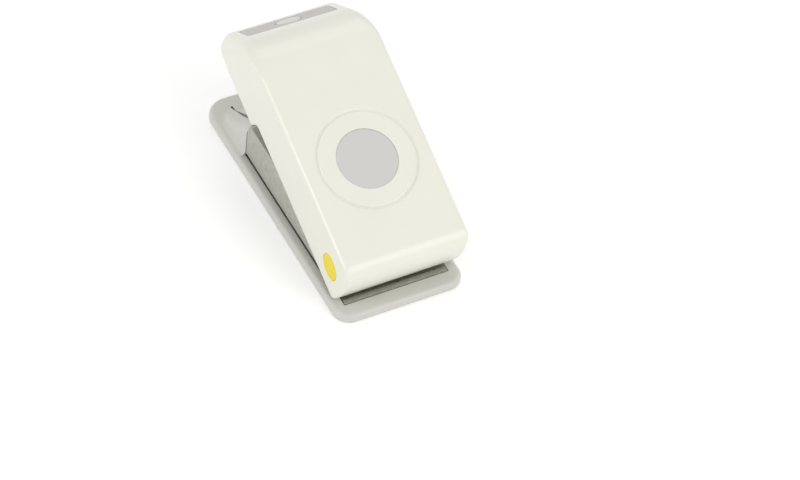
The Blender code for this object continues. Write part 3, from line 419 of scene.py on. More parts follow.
# %% Moulded plastic
def moulded(name, colour, roughness, grain=0.004, grain_scale=5200.0, variation=0.015, coat=0.0):
    """Moulded plastic: slow colour drift, fine gloss changes, and the tool's light grain."""
    material, tree, shader, place = start(name, colour, roughness)
    shader.inputs["Coat Weight"].default_value = coat
    shader.inputs["Coat Roughness"].default_value = 0.12
    drift = noise(tree, place, 55.0, 2.0)
    tree.links.new(
        tint(tree, drift, shaded(colour, 1.0 - variation), shaded(colour, 1.0 + variation / 3)),
        shader.inputs["Base Color"],
    )
    gloss = noise(tree, place, 420.0, 3.0)
    tree.links.new(spread(tree, gloss, roughness * 0.93, roughness * 1.07), shader.inputs["Roughness"])
    bump(tree, shader, noise(tree, place, grain_scale, 2.0), grain * MM)
    return material


WHITE = moulded("white_plastic", (0.845, 0.843, 0.750), 0.24, coat=0.35)
PAD_WHITE = moulded("pad_plastic", (0.848, 0.846, 0.758), 0.25, coat=0.35)
DISC_GREY = moulded("grey_inlay", (0.638, 0.630, 0.602), 0.46, grain=0.006, grain_scale=6500.0)
LABEL_GREY = moulded("label_grey", (0.584, 0.573, 0.534), 0.50, grain=0.008, grain_scale=6000.0)
BADGE_WHITE = moulded("badge_white", (0.710, 0.710, 0.640), 0.34, coat=0.2)
YELLOW = moulded("yellow_plastic", (0.872, 0.700, 0.022), 0.42)
BASE_GREY = moulded("base_plastic", (0.636, 0.632, 0.586), 0.38, grain=0.010, grain_scale=4200.0)
LOCK_GREY = moulded("lock_plastic", (0.640, 0.636, 0.586), 0.36, grain=0.009, grain_scale=4200.0)
DARK = moulded("plunger_plastic", (0.330, 0.330, 0.305), 0.45, grain=0.010)
NYLON = moulded("bush_nylon", (0.690, 0.670, 0.590), 0.50, grain=0.006)
print("plastics:", WHITE.name, YELLOW.name, BASE_GREY.name, "and 7 more")

# %% [markdown]
# ## Cast metal
# The guide frame is die-cast zinc, left as it comes from the mould: dull, cloudy and full of
# small dark specks. Both could be painted as a picture and wrapped round. Two noises, multiplied
# in the shader, reach every side of the casting without a seam, and two bumps on top of each
# other give it a rough skin with shallow waves.

# %% Cast metal
def cast_metal(name, colour, roughness):
    """Die-cast zinc as it leaves the mould: cloudy, with dark specks and a fine rough skin."""
    material, tree, shader, place = start(name, colour, roughness, 0.55)
    cloud = noise(tree, place, 520.0, 5.0)
    specks = noise(tree, place, 1900.0, 3.0)
    base = tint(tree, cloud, shaded(colour, 1.00), shaded(colour, 1.16), 0.32, 0.66)
    dark = tint(tree, specks, (0.84, 0.84, 0.84), (1.0, 1.0, 1.0), 0.34, 0.46)
    mix = tree.nodes.new("ShaderNodeMix")
    mix.data_type = "RGBA"
    mix.blend_type = "MULTIPLY"
    mix.inputs["Factor"].default_value = 1.0
    tree.links.new(base, mix.inputs["A"])
    tree.links.new(dark, mix.inputs["B"])
    tree.links.new(mix.outputs["Result"], shader.inputs["Base Color"])
    tree.links.new(spread(tree, cloud, roughness * 1.2, roughness * 0.8), shader.inputs["Roughness"])
    skin = bump(tree, shader, noise(tree, place, 3200.0, 3.0), 0.014 * MM)
    bump(tree, shader, noise(tree, place, 650.0, 2.0), 0.05 * MM, 1.0, skin)
    return material


CAST = cast_metal("cast_metal", (0.478, 0.472, 0.416), 0.44)
print("casting:", CAST.name)

# %% [markdown]
# ## Plated and ground metal
# Screws, plates, pins and the cutter are rolled, plated or ground, and show fine marks along one
# direction. The Mapping node stretches the noise along that direction, which is cheaper than an
# anisotropic shader. The same marks steer the gloss and a very low bump.

# %% Plated and ground metal
def worked_metal(name, colour, roughness, stretch, grain=0.003, variation=0.12):
    """Plated or ground metal with fine marks along one direction."""
    material, tree, shader, place = start(name, colour, roughness, 1.0)
    marks = noise(tree, place, 2600.0, 4.0, stretch)
    cloud = noise(tree, place, 180.0, 3.0)
    tree.links.new(
        tint(tree, cloud, shaded(colour, 1.0 - variation), shaded(colour, 1.0 + variation / 3)),
        shader.inputs["Base Color"],
    )
    tree.links.new(spread(tree, marks, roughness * 0.75, roughness * 1.3), shader.inputs["Roughness"])
    bump(tree, shader, marks, grain * MM)
    return material


PLATED = worked_metal("plated_steel", (0.60, 0.59, 0.56), 0.30, (0.12, 1.0, 1.0))
PIN_STEEL = worked_metal("pin_steel", (0.58, 0.575, 0.56), 0.22, (0.1, 1.0, 1.0), 0.0015)
TOOL_STEEL = worked_metal("tool_steel", (0.42, 0.42, 0.43), 0.20, (1.0, 1.0, 0.08), 0.002)
SPRING_STEEL = worked_metal("spring_steel", (0.36, 0.36, 0.37), 0.26, (1.0, 1.0, 1.0), 0.002)
print(len(bpy.data.materials), "materials with those of the model")

# %% [markdown]
# ## The lever seen from the side
# The lever's top is flat, then falls over a wide arc to a steep rear slope with the label, and
# ends in a round heel. The outline could be drawn as a Bezier curve. It is given as a function of
# height instead, because every ring of the shell asks the same question: how far back does the
# lever reach at this height?

# %% Lever seen from the side
LEVER_END = 108.16 * MM
LEVER_TOP = 14.52 * MM
SLOPE_START = 78.6 * MM
SLOPE_RADIUS = 24.0 * MM
SLOPE_ANGLE = math.radians(56.0)
HEEL_LENGTH = 16.2 * MM
HEEL_DROP = 1.8 * MM
SLOPE_TURN = (SLOPE_START, LEVER_TOP - SLOPE_RADIUS)
SLOPE_TIP = (
    SLOPE_TURN[0] + SLOPE_RADIUS * math.sin(SLOPE_ANGLE),
    SLOPE_TURN[1] + SLOPE_RADIUS * math.cos(SLOPE_ANGLE),
)
HEEL = (
    SLOPE_TIP[0] + HEEL_LENGTH * math.cos(SLOPE_ANGLE),
    SLOPE_TIP[1] - HEEL_LENGTH * math.sin(SLOPE_ANGLE),
)
HEEL_END = HEEL[1] - HEEL_DROP
HEEL_CORNER = HEEL[1] - (LEVER_END - HEEL[0]) * math.tan(SLOPE_ANGLE)


def heel_curve(share):
    """Point on the round corner between the slope and the upright rear wall."""
    a, b, c = (1.0 - share) ** 2, 2.0 * share * (1.0 - share), share * share
    along = a * HEEL[0] + (b + c) * LEVER_END
    return along, a * HEEL[1] + b * HEEL_CORNER + c * HEEL_END


def rear_at(above):
    """Where the lever's rear outline is at a height."""
    if above <= HEEL_END:
        return LEVER_END
    if above < HEEL[1]:
        low, high = 0.0, 1.0
        for _ in range(30):
            middle = (low + high) / 2
            if heel_curve(middle)[1] > above:
                low = middle
            else:
                high = middle
        return heel_curve(low)[0]
    if above < SLOPE_TIP[1]:
        return SLOPE_TIP[0] + (SLOPE_TIP[1] - above) / math.tan(SLOPE_ANGLE)
    rise = min((above - SLOPE_TURN[1]) / SLOPE_RADIUS, 1.0)
    return SLOPE_TURN[0] + SLOPE_RADIUS * math.sqrt(1.0 - rise * rise)


print("heel", [round(value / MM, 2) for value in (*HEEL, HEEL_CORNER, HEEL_END)])

# %% [markdown]
# ## The lever's front and lower rim
# The front wall bulges a little and meets the top in a wide, soft edge, which carries the
# brightest highlight. The lower rim steps down in the middle of the side and rises again at the
# tip. A few points give the step, as on the model, and each point of the shell looks up its own
# rim height.

# %% Lever front and lower rim
LEVER_FRONT = 9.84 * MM
FRONT_EDGE = 4.8 * MM
FRONT_BULGE = 2.1 * MM
FRONT_LOW = 11.56 * MM
REAR_LOW = 17.5 * MM
TIP_LOW = 15.5 * MM
STEP_FRONT = 66.4 * MM
STEP_SPAN = 5.2 * MM
RISE_START = 92.0 * MM
STEP_POINTS = (
    (0.0, 0.0), (0.18, 0.025), (0.33, 0.12), (0.50, 0.38), (0.66, 0.76), (0.80, 0.95), (1.0, 1.0),
)


def edge_inset(above, radius):
    """How far a round top edge lies in at a height."""
    rise = min(max(above - (LEVER_TOP - radius), 0.0) / radius, 1.0)
    return radius * (1.0 - math.sqrt(1.0 - rise * rise))


def front_at(above):
    """Where the lever's front outline is at a height."""
    share = (above + FRONT_LOW) / (LEVER_TOP + FRONT_LOW)
    bulge = FRONT_BULGE * math.sin(math.pi * max(share, 0.0) ** 0.9)
    return edge_inset(above, FRONT_EDGE) - LEVER_FRONT - bulge


def step_share(share):
    """How much of the rim's step is done, along the model's points."""
    for (low, low_drop), (high, high_drop) in zip(STEP_POINTS, STEP_POINTS[1:]):
        if share <= high:
            part = (share - low) / (high - low)
            return low_drop + (high_drop - low_drop) * part
    return 1.0


def rim_at(along):
    """Height of the lower rim."""
    if along < STEP_FRONT:
        return -FRONT_LOW
    if along < STEP_FRONT + STEP_SPAN:
        return -FRONT_LOW - (REAR_LOW - FRONT_LOW) * step_share((along - STEP_FRONT) / STEP_SPAN)
    rise = max(along - RISE_START, 0.0) / (LEVER_END - RISE_START)
    return -REAR_LOW + (REAR_LOW - TIP_LOW) * rise * rise * (3.0 - 2.0 * rise)


print("front wall at", round(front_at(0.0) / MM, 2), "mm")
print("rear rim at", round(rim_at(RISE_START) / MM, 2), "mm")

# %% [markdown]
# ## Rings round the lever
# Seen from above, the lever is a rounded rectangle, a little rounder at the rear. Its wall is 2
# mm thick. A plain rectangle has points only at its corners. This one has stations along its
# sides, closest at the step, so that the rim can follow its curve there. The inner ring keeps the
# same stations, so both walls pair up.

# %% Rings round the lever
LEVER_HALF = 27.1 * MM
LEVER_WALL = 2.0 * MM
TOP_WALL = 2.6 * MM
SIDE_EDGE = 1.7 * MM
FRONT_RADIUS = 1.6 * MM
REAR_RADIUS = 5.5 * MM
SIDE_STATIONS = [-5.0, 5.0, 17.0, 29.0, 41.0, 53.0, 62.0]
SIDE_STATIONS += [66.0 + 0.35 * step for step in range(19)]
SIDE_STATIONS += [73.5, 77.0, 82.0, 87.0, 91.0, 94.0, 97.0, 99.5, 101.5]
SIDE_LOW = -LEVER_FRONT + FRONT_RADIUS
SIDE_HIGH = LEVER_END - REAR_RADIUS
SIDE_SHARES = [(y * MM - SIDE_LOW) / (SIDE_HIGH - SIDE_LOW) for y in SIDE_STATIONS]
CROSS_SHARES = [step / 12 for step in range(1, 12)]


def dense_ring(front, rear, half, front_radius, rear_radius):
    """(x, y) round the lever, with stations along each side, from the right front corner round."""
    ring = rounded_ring(front, rear, half, front_radius, rear_radius, 0.0)
    size = CORNER_STEPS + 1
    corners = [ring[number * size:(number + 1) * size] for number in range(4)]
    points = []
    spans = (SIDE_SHARES, CROSS_SHARES, [1.0 - share for share in reversed(SIDE_SHARES)], CROSS_SHARES)
    for number, shares in enumerate(spans):
        points += [(x, y) for x, y, z in corners[number]]
        a, b = corners[number][-1], corners[(number + 1) % 4][0]
        points += [(a[0] + (b[0] - a[0]) * share, a[1] + (b[1] - a[1]) * share) for share in shares]
    return points


def outer_ring(above):
    """The lever's outline at a height."""
    half = LEVER_HALF - edge_inset(above, SIDE_EDGE)
    return dense_ring(front_at(above), rear_at(above), half, FRONT_RADIUS, REAR_RADIUS)


def inner_ring(above):
    """The hollow's outline at a height of its own; it lies under the outer skin by the top wall."""
    over = above + TOP_WALL
    half = LEVER_HALF - LEVER_WALL - edge_inset(over, SIDE_EDGE)
    return dense_ring(LEVER_WALL - LEVER_FRONT, rear_at(over) - LEVER_WALL, half, 2 * GAP, 3.5 * MM)


print(len(outer_ring(0.0)), "points in each ring of the lever")

# %% [markdown]
# ## Levels of the lever
# The rings of the shell lie close together where the outline turns, and far apart on the flat
# walls. Equal steps would waste faces on the walls and still show corners on the edges. The
# heights of every soft edge and of the rear arc are gathered, sorted, and thinned where two of
# them nearly meet.

# %% Levels of the lever
RIM_LEVEL, RIM_ROUND = -8.6 * MM, 0.5 * MM


def levels(low, high, radii, step):
    """Heights from low to high, close together round the top edges."""
    found = {round(low, 7), round(high, 7)}
    count = math.ceil((high - low) / step)
    found |= {round(low + (high - low) * number / count, 7) for number in range(1, count)}
    for radius in radii:
        found |= {round(high - radius + rise * radius, 7) for inset, rise in quarter(10)}
    arc_drop = [SLOPE_RADIUS * (1.0 - math.cos(math.radians(2.0 * turn))) for turn in range(1, 28)]
    found |= {round(high - drop, 7) for drop in arc_drop}
    ordered = sorted(found)
    kept = [ordered[0]]
    for level in ordered[1:]:
        if level - kept[-1] > 0.012 * MM or level == ordered[-1]:
            kept.append(level)
    return kept


OUTER_RINGS = {}


def outer_point(above, number):
    """One point of the outer ring at a height, with rings kept for heights already met."""
    key = round(above, 6)
    if key not in OUTER_RINGS:
        OUTER_RINGS[key] = outer_ring(key)
    return OUTER_RINGS[key][number]


print(len(levels(RIM_LEVEL, LEVER_TOP, (SIDE_EDGE, FRONT_EDGE), 1.6 * MM)), "levels outside")

# %% [markdown]
# ## The lever's skin
# One closed skin runs from the inner ceiling down to the rounded lower rim and up the outside,
# like a thin cup. A Solidify modifier would give the wall too, but not a rim of its own roundness
# and not a thicker top. So the rings are listed in that order, and one loft joins them all.

# %% Lever skin
def inner_rings():
    """From the ceiling down the inner wall."""
    heights = levels(RIM_LEVEL, LEVER_TOP - TOP_WALL, (SIDE_EDGE,), 2.2 * MM)
    return [[(x, y, above) for x, y in inner_ring(above)] for above in reversed(heights)]


def rim_rings(inner_low):
    """Down to the lower rim, round it, and up again outside."""
    inner_rim = inner_ring(-FRONT_LOW - 2 * TOP_WALL)
    outer_rim = outer_ring(-FRONT_LOW - 0.1 * MM)
    rims = [rim_at(y) for x, y in outer_rim]
    rings = [
        [
            (
                a[0] + (b[0] - a[0]) * share, a[1] + (b[1] - a[1]) * share,
                RIM_LEVEL + (rim + RIM_ROUND - RIM_LEVEL) * share,
            )
            for a, b, rim in zip(inner_low, inner_rim, rims)
        ]
        for share in (0.3, 0.6, 0.85)
    ]
    across = [(RIM_ROUND * inset, RIM_ROUND * (1.0 - rise)) for inset, rise in quarter(5)]
    steps = [(inset, rise, False) for inset, rise in across]
    steps += [(inset, rise, True) for inset, rise in reversed(across)]
    for inset, rise, outer in steps:
        ring = []
        for inside, outside, rim in zip(inner_rim, outer_rim, rims):
            wall = Vector(outside) - Vector(inside)
            share = 1.0 - inset / wall.length if outer else inset / wall.length
            ring.append((*(Vector(inside) + wall * share), rim + rise))
        rings.append(ring)
    for share in (0.15, 0.3, 0.45, 0.6, 0.8):
        heights = [rim + RIM_ROUND + (RIM_LEVEL - rim - RIM_ROUND) * share for rim in rims]
        rings.append([(*outer_point(above, number), above) for number, above in enumerate(heights)])
    return rings


def shell_skin():
    """The whole skin: inside, rim and outside."""
    inside = inner_rings()
    heights = levels(RIM_LEVEL, LEVER_TOP, (SIDE_EDGE, FRONT_EDGE), 1.6 * MM)
    outside = [[(x, y, above) for x, y in outer_ring(above)] for above in heights]
    return loft(inside + rim_rings(inside[-1]) + outside)


print(len(inner_rings()), "rings inside")

# %% [markdown]
# ## Seats in the lever: the pad
# The pad, label and caps are separate mouldings that are pressed into seats, and a fine line
# shows round each. That line could be faked with a dark ring in the material. A real gap with a
# soft rim catches light and shade from every side, so each seat is a turned or lofted cutter a
# little larger than its piece.

# %% Seat for the pad
PAD_RADIUS = 20.625 * MM
PAD_DEPTH = 1.5 * MM


def pad_seat():
    """The round seat for the pad, with a soft flared rim."""
    radius, flare, sink, low = PAD_RADIUS + GAP, 0.72 * MM, 0.37 * MM, LEVER_TOP - PAD_DEPTH
    profile = [(0.0, low), (radius, low)]
    profile += [
        (radius + flare * step / 10, LEVER_TOP - sink * (0.5 + 0.5 * math.cos(math.pi * step / 10)))
        for step in range(11)
    ]
    profile += [(radius + flare, LEVER_TOP + OVERRUN), (0.0, LEVER_TOP + OVERRUN)]
    return turned(profile, (0.0, REACH), 160)


print("the pad's seat is", round(2 * (PAD_RADIUS + GAP) / MM, 1), "mm wide")

# %% [markdown]
# ## Seats on the slope and in the sides
# The label lies on the rear slope, so its seat is drawn flat about the origin and then laid on
# the slope. The caps close the hinge bore from both sides: their seats are turned round Z and
# then laid along X. Turning a finished cutter is easier to read than drawing it at its angle.

# %% Seats for the label and caps
LABEL_SIZE = (39.6 * MM, 10.2 * MM)
LABEL_OFFSET = 8.9 * MM
LABEL_THICKNESS = 1.0 * MM
LABEL_CORNER = 1.2 * MM
CAP_RADIUS = 5.7 * MM
CAP_THICKNESS = 1.0 * MM
LABEL_MIDDLE = (
    SLOPE_TIP[0] + LABEL_OFFSET * math.cos(SLOPE_ANGLE),
    SLOPE_TIP[1] - LABEL_OFFSET * math.sin(SLOPE_ANGLE),
)


def on_slope(bm):
    """Lays a shape drawn flat about the origin on the rear slope."""
    turn = Matrix.Rotation(-SLOPE_ANGLE, 3, "X")
    bmesh.ops.rotate(bm, verts=bm.verts, cent=(0.0, 0.0, 0.0), matrix=turn)
    bmesh.ops.translate(bm, verts=bm.verts, vec=(0.0, *LABEL_MIDDLE))
    return bm


def slope_seat(width, height, radius, low, high, steps=10):
    """A cutter with round corners, as deep as from low to high under the slope."""
    return on_slope(loft([
        rounded_ring(-height / 2, height / 2, width / 2, radius, radius, level, steps)
        for level in (low, high)
    ]))


def cap_seat(side):
    """A round seat for a pin cap, with a lightly broken edge."""
    radius, ease, floor = CAP_RADIUS + 0.05 * MM, 0.15 * MM, LEVER_HALF - CAP_THICKNESS - GAP
    profile = [(0.0, floor), (radius, floor), (radius, LEVER_HALF - ease)]
    profile += [(radius + ease * 0.4, LEVER_HALF - ease * 0.4), (radius + ease, LEVER_HALF)]
    profile += [(radius + ease, LEVER_HALF + OVERRUN), (0.0, LEVER_HALF + OVERRUN)]
    if side < 0:
        profile = [(r, -z) for r, z in reversed(profile)]
    return lie_along_x(turned(profile, steps=96))


print("the label's middle is", [round(value / MM, 1) for value in LABEL_MIDDLE], "from the hinge")

# %% [markdown]
# ## Lever shell
# The white shell is the piece that the hand presses. Inside it has a small ledge at the tip,
# which the lock holds. All seats and bores are now cut into the skin in one go: pad, hinge bore,
# label, caps and the bracket's screw holes. One chain of Booleans keeps the order plain, and the
# soft shading is set last.

# %% Lever shell
PIN_BORE = 2.8 * MM
SCREW_HOLE = 1.5 * MM
BRACKET_SCREWS = [(x * MM, y * MM) for x in (-12.0, 12.0) for y in (8.0, 58.0)]
LEDGE_HALF, LEDGE_LENGTH = 9.0 * MM, 3.2 * MM
ledge_low = -TIP_LOW
ledge_high = ledge_low + 1.5 * MM
inner_end = LEVER_END - LEVER_WALL
shell = carved(
    shell_skin(),
    *joins(box(
        (-LEDGE_HALF, LEDGE_HALF), (inner_end - LEDGE_LENGTH, inner_end + LEVER_WALL / 2),
        (ledge_low, ledge_high),
    )),
    *cuts(
        pad_seat(),
        lie_along_x(rod(PIN_BORE, -LEVER_HALF - OVERRUN, LEVER_HALF + OVERRUN, steps=64)),
        slope_seat(
            LABEL_SIZE[0] + 2 * GAP, LABEL_SIZE[1] + 2 * GAP, LABEL_CORNER + GAP,
            -LABEL_THICKNESS - GAP, OVERRUN,
        ),
        cap_seat(1), cap_seat(-1),
        *[rod(SCREW_HOLE, 10.2 * MM, 13.72 * MM, place, 48) for place in BRACKET_SCREWS],
    ),
)
piece("shell", shell, TO_LEVER, WHITE, "lever", "white_shell", "lever_shell", sharp=38.0)

# %% [markdown]
# ## Press pad
# The round pad shows where to press. It stands a fifth of a millimetre proud, in a soft groove,
# and holds the disc. A cylinder with a Bevel would do for the pad alone. Its groove, edge and
# inner seat are one half profile here, and the lathe turns it in one go.

# %% Press pad
PAD_PROUD = 0.2 * MM
DISC_RECESS = 0.8 * MM


def pad_profile():
    """A round pad that stands in a soft groove, with a seat for the grey disc."""
    low, high = LEVER_TOP - PAD_DEPTH + GAP, LEVER_TOP + PAD_PROUD
    outer, edge, lip = 20.22 * MM, 0.65 * MM, 0.15 * MM
    seat, floor = CUT_RADIUS + 0.03 * MM, high - DISC_RECESS
    groove = [(20.915, -0.39), (20.76, -0.45), (20.60, -0.48), (20.45, -0.48), (20.30, -0.46)]
    profile = [(0.0, low), (groove[0][0] * MM, low)]
    profile += [(radius * MM, LEVER_TOP + level * MM) for radius, level in groove]
    profile += [(outer - edge * inset, high - edge + edge * rise) for inset, rise in quarter(12)]
    profile += [
        (seat + lip * (1.0 - inset), high - lip + lip * rise) for inset, rise in reversed(quarter(5))
    ]
    profile += [(seat, floor), (0.0, floor)]
    return profile


pad_bm = turned(pad_profile(), (0.0, REACH), 160)
piece("pad", pad_bm, TO_LEVER, PAD_WHITE, "lever", "white_pad", "press_pad")

# %% [markdown]
# ## Grey disc
# The disc tells the size of the cut: it is as wide as the round that the punch makes. It could be
# a spot of colour on the pad. As a thin turned plate of its own it gets a fine gap and a matt
# finish.

# %% Grey disc
DISC_THICKNESS = 0.4 * MM


def disc_profile():
    """Half a profile of a thin disc with a soft upper edge."""
    low = LEVER_TOP + PAD_PROUD - DISC_RECESS + GAP
    high, edge = low + DISC_THICKNESS, 0.14 * MM
    outer = CUT_RADIUS + 0.02 * MM
    profile = [(0.0, low), (outer, low)]
    profile += [(outer - edge * inset, high - edge + edge * rise) for inset, rise in quarter(5)]
    return profile + [(0.0, high)]


disc_bm = turned(disc_profile(), (0.0, REACH), 128)
piece("disc", disc_bm, TO_LEVER, DISC_GREY, "lever", "grey_disc", "size_disc")

# %% [markdown]
# ## Label plate
# A grey plate with round corners lies flush in the rear slope, with an oval opening for the
# badge. The plate is a loft of shrinking rounded rectangles, so its upper edge is soft. The
# opening flares a little at the top, because a soft border reads as a moulded part and a sharp
# one as a drawing.

# %% Label plate
BADGE_SIZE = (10.8 * MM, 7.0 * MM)


def plate_skin(width, height, radius, low, high, edge):
    """A plate with round corners and a soft upper edge."""
    steps = [(0.0, low)] + [(edge * inset, high - edge + edge * rise) for inset, rise in quarter(4)]
    return loft([
        rounded_ring(
            inset - height / 2, height / 2 - inset, width / 2 - inset,
            radius - inset, radius - inset, level,
        )
        for inset, level in steps
    ])


def oval_ring(width, height, level, count=96):
    """Points round an oval at one level."""
    angles = [math.tau * step / count for step in range(count)]
    return [(width / 2 * math.cos(a), height / 2 * math.sin(a), level) for a in angles]


def oval_skin(levels_and_insets):
    """A stack of ovals, each smaller than the badge by an inset."""
    width, height = BADGE_SIZE
    return loft([
        oval_ring(width - 2 * inset, height - 2 * inset, level) for level, inset in levels_and_insets
    ])


seat_depth = 0.6 * MM
label_bm = carved(
    on_slope(plate_skin(*LABEL_SIZE, LABEL_CORNER, -LABEL_THICKNESS, 0.0, 0.22 * MM)),
    *cuts(on_slope(oval_skin([
        (-seat_depth, -GAP), (-0.2 * MM, -GAP), (-0.07 * MM, -GAP - 0.04 * MM), (0.0, -GAP - 0.14 * MM),
        (OVERRUN, -GAP - 0.14 * MM),
    ]))),
)
piece("label", label_bm, TO_LEVER, LABEL_GREY, "lever", "label_grey", "label_plate")

# %% [markdown]
# ## Badge
# The pale oval is a small pressed-in button. It has the faintest dome, which only shows in its
# reflection. A scaled sphere would be far too round. A stack of ovals that follow a quarter
# circle and then a very flat arc gives the narrow edge and the dome together.

# %% Badge
dome = [(-0.3 * MM, 0.0), (-0.12 * MM, 0.0)]
dome += [(-0.12 * MM + 0.16 * MM * rise, 0.16 * MM * inset) for inset, rise in quarter(4)[1:]]
dome += [(0.04 * MM + 0.06 * MM * math.sin(turn), 0.16 * MM + 2.4 * MM * (1.0 - math.cos(turn)))
         for turn in (0.4, 0.8, 1.2, math.pi / 2)]
badge_bm = on_slope(oval_skin(dome))
piece("badge", badge_bm, TO_LEVER, BADGE_WHITE, "lever", "badge_white", "label_badge")

# %% [markdown]
# ## Pin caps
# A yellow cap hides each end of the hinge pin and is flush with the lever's side. Both caps are
# the same turned profile. For the left one the profile is mirrored before it is turned, which
# keeps its faces pointing outwards, as a negative scale would not.

# %% Pin caps
for side, name in ((-1, "left"), (1, "right")):
    low, high, edge = LEVER_HALF - CAP_THICKNESS, LEVER_HALF, 0.3 * MM
    outer = CAP_RADIUS - 0.08 * MM
    profile = [(0.0, low), (outer, low)]
    profile += [(outer - edge * inset, high - edge + edge * rise) for inset, rise in quarter(6)]
    profile += [(0.0, high)]
    if side < 0:
        profile = [(r, -z) for r, z in reversed(profile)]
    cap_bm = lie_along_x(turned(profile, steps=96))
    piece(f"cap_{name}", cap_bm, TO_LEVER, YELLOW, "lever", "yellow", f"pin_cap_{name}")

# %% [markdown]
# ## Raised block
# Behind the frame the base rises in one smooth wave, which the lever's rear end comes down on. It
# could be sculpted, or cut from a block with a curve. Its height is a function of the place along
# the base here: a smooth curve through the model's points, so that the wave can't drift from the
# solid.

# %% Raised block
TRAY_TOP = 4.0 * MM
BLOCK_HALF = 24.5 * MM
BLOCK_FRONT = 79.7 * MM
BLOCK_REAR = 106.0 * MM
BLOCK_TOP = 21.8 * MM
BLOCK_FILLET = 2.4 * MM
BLOCK_SHOULDER = 5.5 * MM
BLOCK_CORNER = 9.0 * MM
SLOPE_SHARES = (
    (0.0, 1.0), (0.06, 0.955), (0.14, 0.85), (0.25, 0.69), (0.36, 0.55), (0.47, 0.43),
    (0.58, 0.325), (0.69, 0.235), (0.79, 0.155), (0.88, 0.085), (0.95, 0.035), (1.0, 0.012),
)


def slope_share(share):
    """Smooth height share through the model's points, kept between its neighbours."""
    points = SLOPE_SHARES
    for number in range(len(points) - 1):
        (x0, y0), (x1, y1) = points[number], points[number + 1]
        if share <= x1 or number == len(points) - 2:
            break
    before = points[max(number - 1, 0)]
    after = points[min(number + 2, len(points) - 1)]
    span = x1 - x0
    rise_low = (y1 - before[1]) / max(x1 - before[0], 1e-9) * span
    rise_high = (after[1] - y0) / max(after[0] - x0, 1e-9) * span
    t = min(max((share - x0) / span, 0.0), 1.0)
    t2, t3 = t * t, t * t * t
    return (
        (2 * t3 - 3 * t2 + 1) * y0 + (t3 - 2 * t2 + t) * rise_low
        + (3 * t2 - 2 * t3) * y1 + (t3 - t2) * rise_high
    )


def block_height(y):
    """How high the raised block is at a place along the base."""
    share = (y - BLOCK_FRONT) / (BLOCK_REAR - BLOCK_FRONT)
    return TRAY_TOP + (BLOCK_TOP - TRAY_TOP) * slope_share(share)


print("block heights", [round(block_height(y * MM) / MM, 1) for y in (82, 90, 98)], "mm")

# %% [markdown]
# ## The block's skin
# Each section across the block is a flat top with a round shoulder and a hollow foot on either
# side. The Bevel operator could round the shoulder, but a hollow foot would need a second tool.
# Here both are quarter circles in the section, and they grow smaller as the block runs out into
# the tray.

# %% Block skin
def block_section(y):
    """The outline across the block, with its foot and shoulder on either side."""
    top = block_height(y)
    rise = top - TRAY_TOP
    foot = min(BLOCK_FILLET, 0.35 * rise)
    shoulder = min(BLOCK_SHOULDER, 0.6 * rise)
    beyond = max(y - (BLOCK_REAR - BLOCK_CORNER), 0.0)
    half = BLOCK_HALF - BLOCK_CORNER + math.sqrt(max(BLOCK_CORNER**2 - beyond**2, 0.0))
    side = [(half + foot, TRAY_TOP - GAP)]
    side += [(half + foot - high * foot, TRAY_TOP + inset * foot) for inset, high in quarter(7)]
    side += [(half - inset * shoulder, top - shoulder + high * shoulder) for inset, high in quarter(12)]
    across = [side[-1][0] * share for share in (0.5, 0.0)]
    left = [(-x, z) for x, z in reversed(side)]
    middle = [(x, top) for x in across] + [(-across[0], top)]
    return [(x, y, z) for x, z in side + middle + left]


def block_skin():
    """All sections of the block, closest where it ends in a round corner."""
    length = BLOCK_REAR - BLOCK_FRONT
    stops = [step / 44 for step in range(39)]
    stops += [1.0 - 0.1364 * math.cos(turn * math.pi / 28) for turn in range(1, 15)]
    return loft([block_section(BLOCK_FRONT + share * length) for share in stops])


print("points in a section:", len(block_section(BLOCK_FRONT)))

# %% [markdown]
# ## The tray's outline
# The base is a low tray with round corners, rounder at the rear, and a rim that turns over in a
# quarter circle. Like the lever, it is a stack of rounded rectangles. Screw holes come from
# below, with room for a flat head.

# %% Tray outline
TRAY_FRONT = -15.0 * MM
TRAY_REAR = 113.0 * MM
TRAY_HALF = 28.2 * MM
TRAY_CORNERS = (7.0 * MM, 9.5 * MM)
TRAY_FOOT, TRAY_RIM = 0.8 * MM, 1.8 * MM


def tray_skin():
    """The tray without its recess."""
    rings = [(TRAY_FOOT * inset, TRAY_FOOT * (1.0 - rise)) for inset, rise in reversed(quarter(5))]
    rings += [(TRAY_RIM * inset, TRAY_TOP - TRAY_RIM + TRAY_RIM * rise) for inset, rise in quarter(10)]
    return loft([
        rounded_ring(
            TRAY_FRONT + inset, TRAY_REAR - inset, TRAY_HALF - inset,
            TRAY_CORNERS[0] - inset, TRAY_CORNERS[1] - inset, height,
        )
        for inset, height in rings
    ])


TRAY_SCREWS = [(x * MM, y * MM) for y in (4.0, 62.0) for x in (-19.5, 19.5)]
CLAMP_SCREWS = [(x * MM, 83.95 * MM) for x in (-10.0, 10.0)]


def screw_hole(x, y):
    """A hole from below for a countersunk tray screw."""
    head, shank, throat = 2.8 * MM, 1.6 * MM, 1.5 * MM
    profile = [(0.0, -OVERRUN), (head, -OVERRUN), (head, GAP)]
    profile += [(shank, throat), (shank, TRAY_TOP), (0.0, TRAY_TOP)]
    return turned(profile, (x, y), 48)


print("the tray is", round((TRAY_REAR - TRAY_FRONT) / MM, 1), "mm long")

# %% [markdown]
# ## Base tray
# Now the raised block is joined to the tray, and the recess for the frame, the lock's channel,
# its rails and the window under the die are cut out. The recess is a little wider above its
# floor, and that slot shows as the thin dark line along the frame. A line of dark paint would
# slide or fade in another light, and a slot does not.

